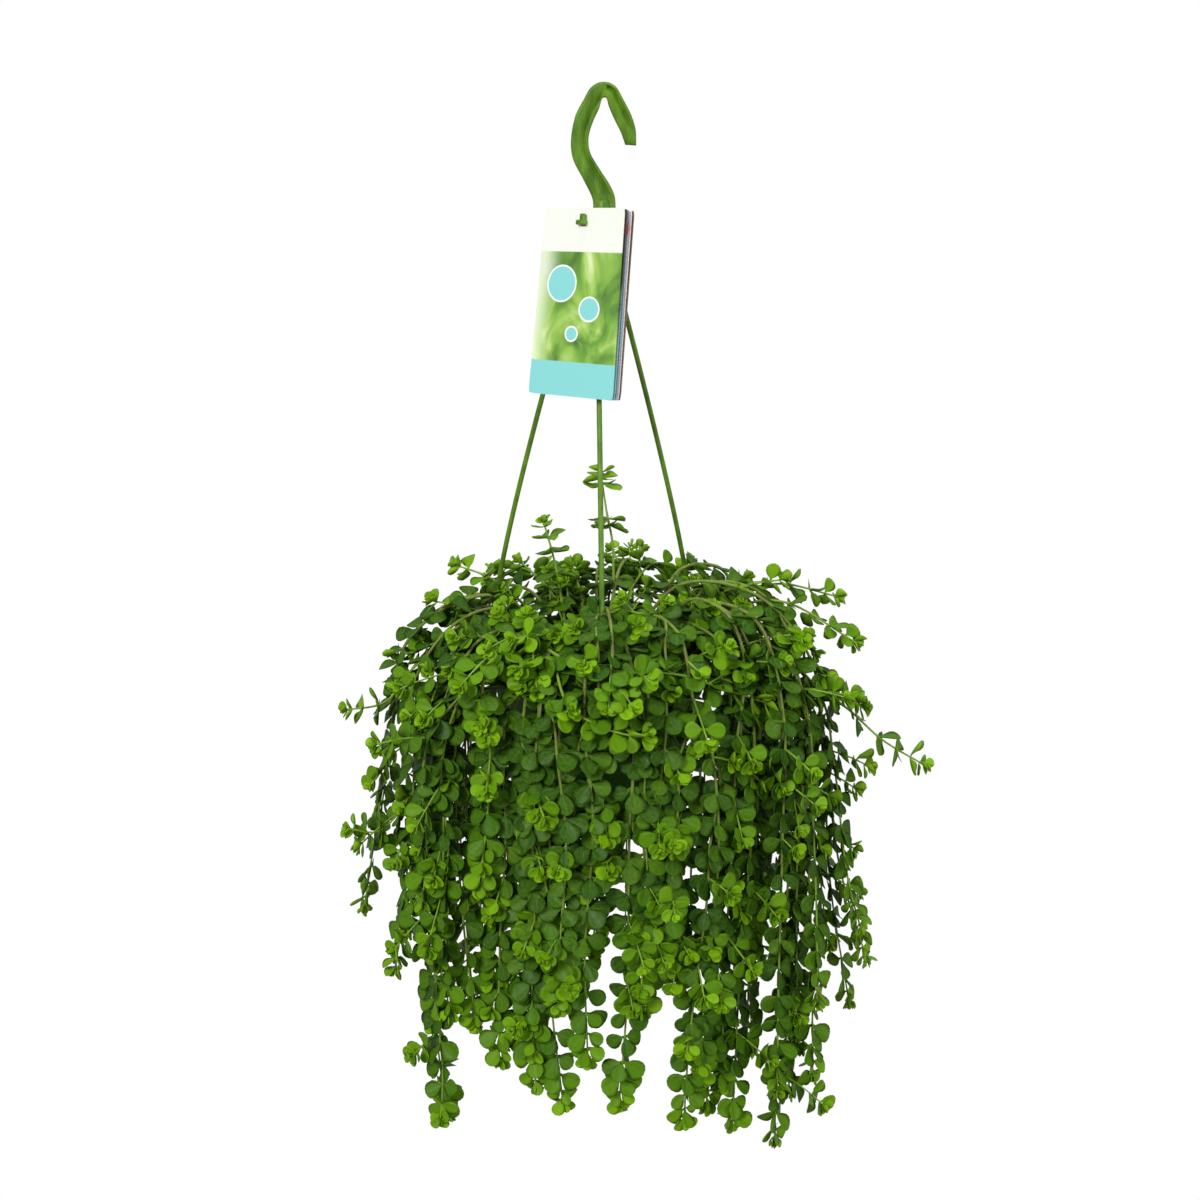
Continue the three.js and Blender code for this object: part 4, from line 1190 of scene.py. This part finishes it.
def companion(curve, draw, drift, end):
    """The line of a branch that leaves a falling stem on its arch and hangs beside it."""
    start = draw(0.16, 0.4) + (0.2 if abs(drift) > 20 else 0)
    count = int((end - start) * curve.length / STEP)
    shares = np.linspace(start, end, count)
    points = curve.along(shares)
    tangents = np.gradient(points, axis=0)
    lift = draw(-8, 8)
    wobble = draw(0, FULL_TURN)
    for i, share in enumerate((shares - start) / (end - start)):
        out = unit(np.array([points[i][0] - AXIS_X, points[i][1], 0]))
        level = unit(np.cross(tangents[i], out))
        away = smooth(0, 0.22, share)
        aside = drift * away + 3 * away * math.sin(wobble + 5 * share)
        points[i] = points[i] + level * aside + out * lift * away
    return np.clip(points, *ROOM)


LEAF_SEED = 41

# Branches beside the falling stems at the front: for each stem, how far its branches hang to the left of
# it and the shares of its length at which they end
COMPANIONS = [
    [(-13, 0.985), (-24, 0.8)], [(9, 0.8)], [(-12, 0.9)], [(-12, 0.86)], [(12, 0.8)], [(11, 0.86)],
    [(12, 0.93)], [(-11, 0.8), (12, 0.9)], [(10, 0.93)], [(-10, 0.95)], [(10, 0.95)], [(12, 0.85)],
    [(-14, 0.82)], [(10, 0.9)], [(-13, 0.96), (-24, 0.99)], [(23, 0.99), (12, 0.93)],
    [(12, 0.93), (-13, 0.88)], [(11, 0.9), (-12, 0.84)], [(21, 0.98)], [(-12, 0.93)],
    [(-14, 0.97), (-24, 0.9)], [(12, 0.86)], [(-10, 0.97)], [(11, 0.88)], [(13, 0.9)],
]
FIRST_TRAILING = 1 + len(SPREADING_STEMS)


def branches_of(i, draw):
    """A row of the list above for a stem at the front, and draws for one behind."""
    if i - FIRST_TRAILING < len(COMPANIONS):
        return COMPANIONS[i - FIRST_TRAILING]
    sides = (1, -1) if i % 2 else (1,)
    return [(side * draw(9, 19), draw(0.7, 0.985)) for side in sides]


# One more branch beside two of the stems, with draws of its own, where the pot's foot and its right side
# would show: by the stem's place in the list, what the list above holds
FILLING = {28: (-9, 0.69), 34: (8, 0.78)}

# Base colours of the leaves' two sides when old, mature and young
UPPER = ((0.019, 0.066, 0.002), (0.041, 0.122, 0.002), (0.165, 0.345, 0.004))
LOWER = ((0.040, 0.095, 0.006), (0.065, 0.150, 0.006), (0.170, 0.330, 0.009))


def evenly(curve):
    """Points a step apart along a curve."""
    return curve.along(np.linspace(0, 1, int(curve.length / STEP)))


def plant():
    upper = leaf_skin("leaf_upper_side", *UPPER, 0.4, 0.1)
    lower = leaf_skin("leaf_under_side", *LOWER, 0.55, 0.25)
    materials = [upper, lower, stem_skin()]
    draw = random_source(LEAF_SEED)
    for i, curve in enumerate(stem_curves()):
        foliage = Foliage()
        trails = i >= FIRST_TRAILING
        bare = ROOT_DEPTH + (16 if trails else 10) if i else None
        grow(foliage, evenly(curve), STEM_RADII, draw, bare, 1.0, 0.2 if i else 0.0, domed=trails)
        for owner, places in CROSSING_BRANCHES:
            if owner == i:
                grow(foliage, evenly(Spline(places)), STEM_RADII, draw, 30, 0.7, 0.1)
        beside = [(*branch, draw) for branch in branches_of(i, draw)] if trails else []
        if i in FILLING:
            beside.append((*FILLING[i], random_source(LEAF_SEED + i)))
        for drift, end, source in beside:
            branch = companion(curve, source, drift, end)
            grow(foliage, branch, BRANCH_RADII, source, 8, 1.0, 0.14)
        piece = foliage.piece(f"leafy_stem_{i + 1:02d}", materials)
        settle(piece, f"stem_{i + 1:02d}")


# Camera, light and floor

CAMERA_PLACE = (-2.7, -919.0, -47.7)
CAMERA_PITCH = 16.2
FOCAL_PIXELS = 1450
IMAGE_SIZE = 1200
SENSOR = 36.0
FLOOR_HEIGHT = -1.25
AMBIENT = 0.48


def camera():
    data = bpy.data.cameras.new("camera")
    data.sensor_width = SENSOR
    data.lens = SENSOR * FOCAL_PIXELS / IMAGE_SIZE
    data.clip_start = 0.05
    data.clip_end = 100
    item = in_scene("camera", data)
    item.location = Vector(CAMERA_PLACE) * MM
    item.rotation_euler = (math.radians(90 - CAMERA_PITCH), 0, 0)
    bpy.context.scene.camera = item


def lamp(name, place, target, size, power):
    data = bpy.data.lights.new(name, "AREA")
    data.shape = "DISK"
    data.size = size
    data.energy = power
    item = in_scene(name, data)
    item.location = place
    item.rotation_euler = (Vector(target) - Vector(place)).to_track_quat("-Z", "Y").to_euler()


def studio():
    """A white surround that shows as white and lights little, and large soft lamps."""
    world = bpy.data.worlds.new("studio")
    world.use_nodes = True
    nodes, links = world.node_tree.nodes, world.node_tree.links
    strength = nodes.new("ShaderNodeMapRange")
    strength.inputs["To Min"].default_value = AMBIENT
    links.new(nodes.new("ShaderNodeLightPath").outputs["Is Camera Ray"], strength.inputs["Value"])
    links.new(strength.outputs["Result"], nodes["Background"].inputs["Strength"])
    nodes["Background"].inputs["Color"].default_value = (1, 1, 1, 1)
    bpy.context.scene.world = world
    bpy.context.scene.view_settings.view_transform = "Standard"
    middle = (0, 0, -0.4)
    lamp("key", (-1.0, -1.7, 0.9), middle, 0.8, 41)
    lamp("fill", (1.5, -1.3, 0.2), middle, 1.2, 15)
    lamp("above", (0.2, 0.2, 1.6), middle, 1.0, 22)


def floor():
    """A plain floor as white as the surround, far below."""
    n = Nodes("floor_white")
    white = n.finish((0, 0, 0, 1), 1.0, Specular_IOR_Level=0.0, Emission_Strength=1.0,
                     Emission_Color=(1, 1, 1, 1))
    half = 15000
    corners = [[-half, -half, 0], [half, -half, 0], [half, half, 0], [-half, half, 0]]
    piece = new_piece("floor", corners, [(0, 1, 2, 3)], [white])
    piece.location.z = FLOOR_HEIGHT
    piece.visible_diffuse = False
    piece.visible_glossy = False


camera()
studio()
floor()
hanger()
pot()
soil()
booklet()
plant()
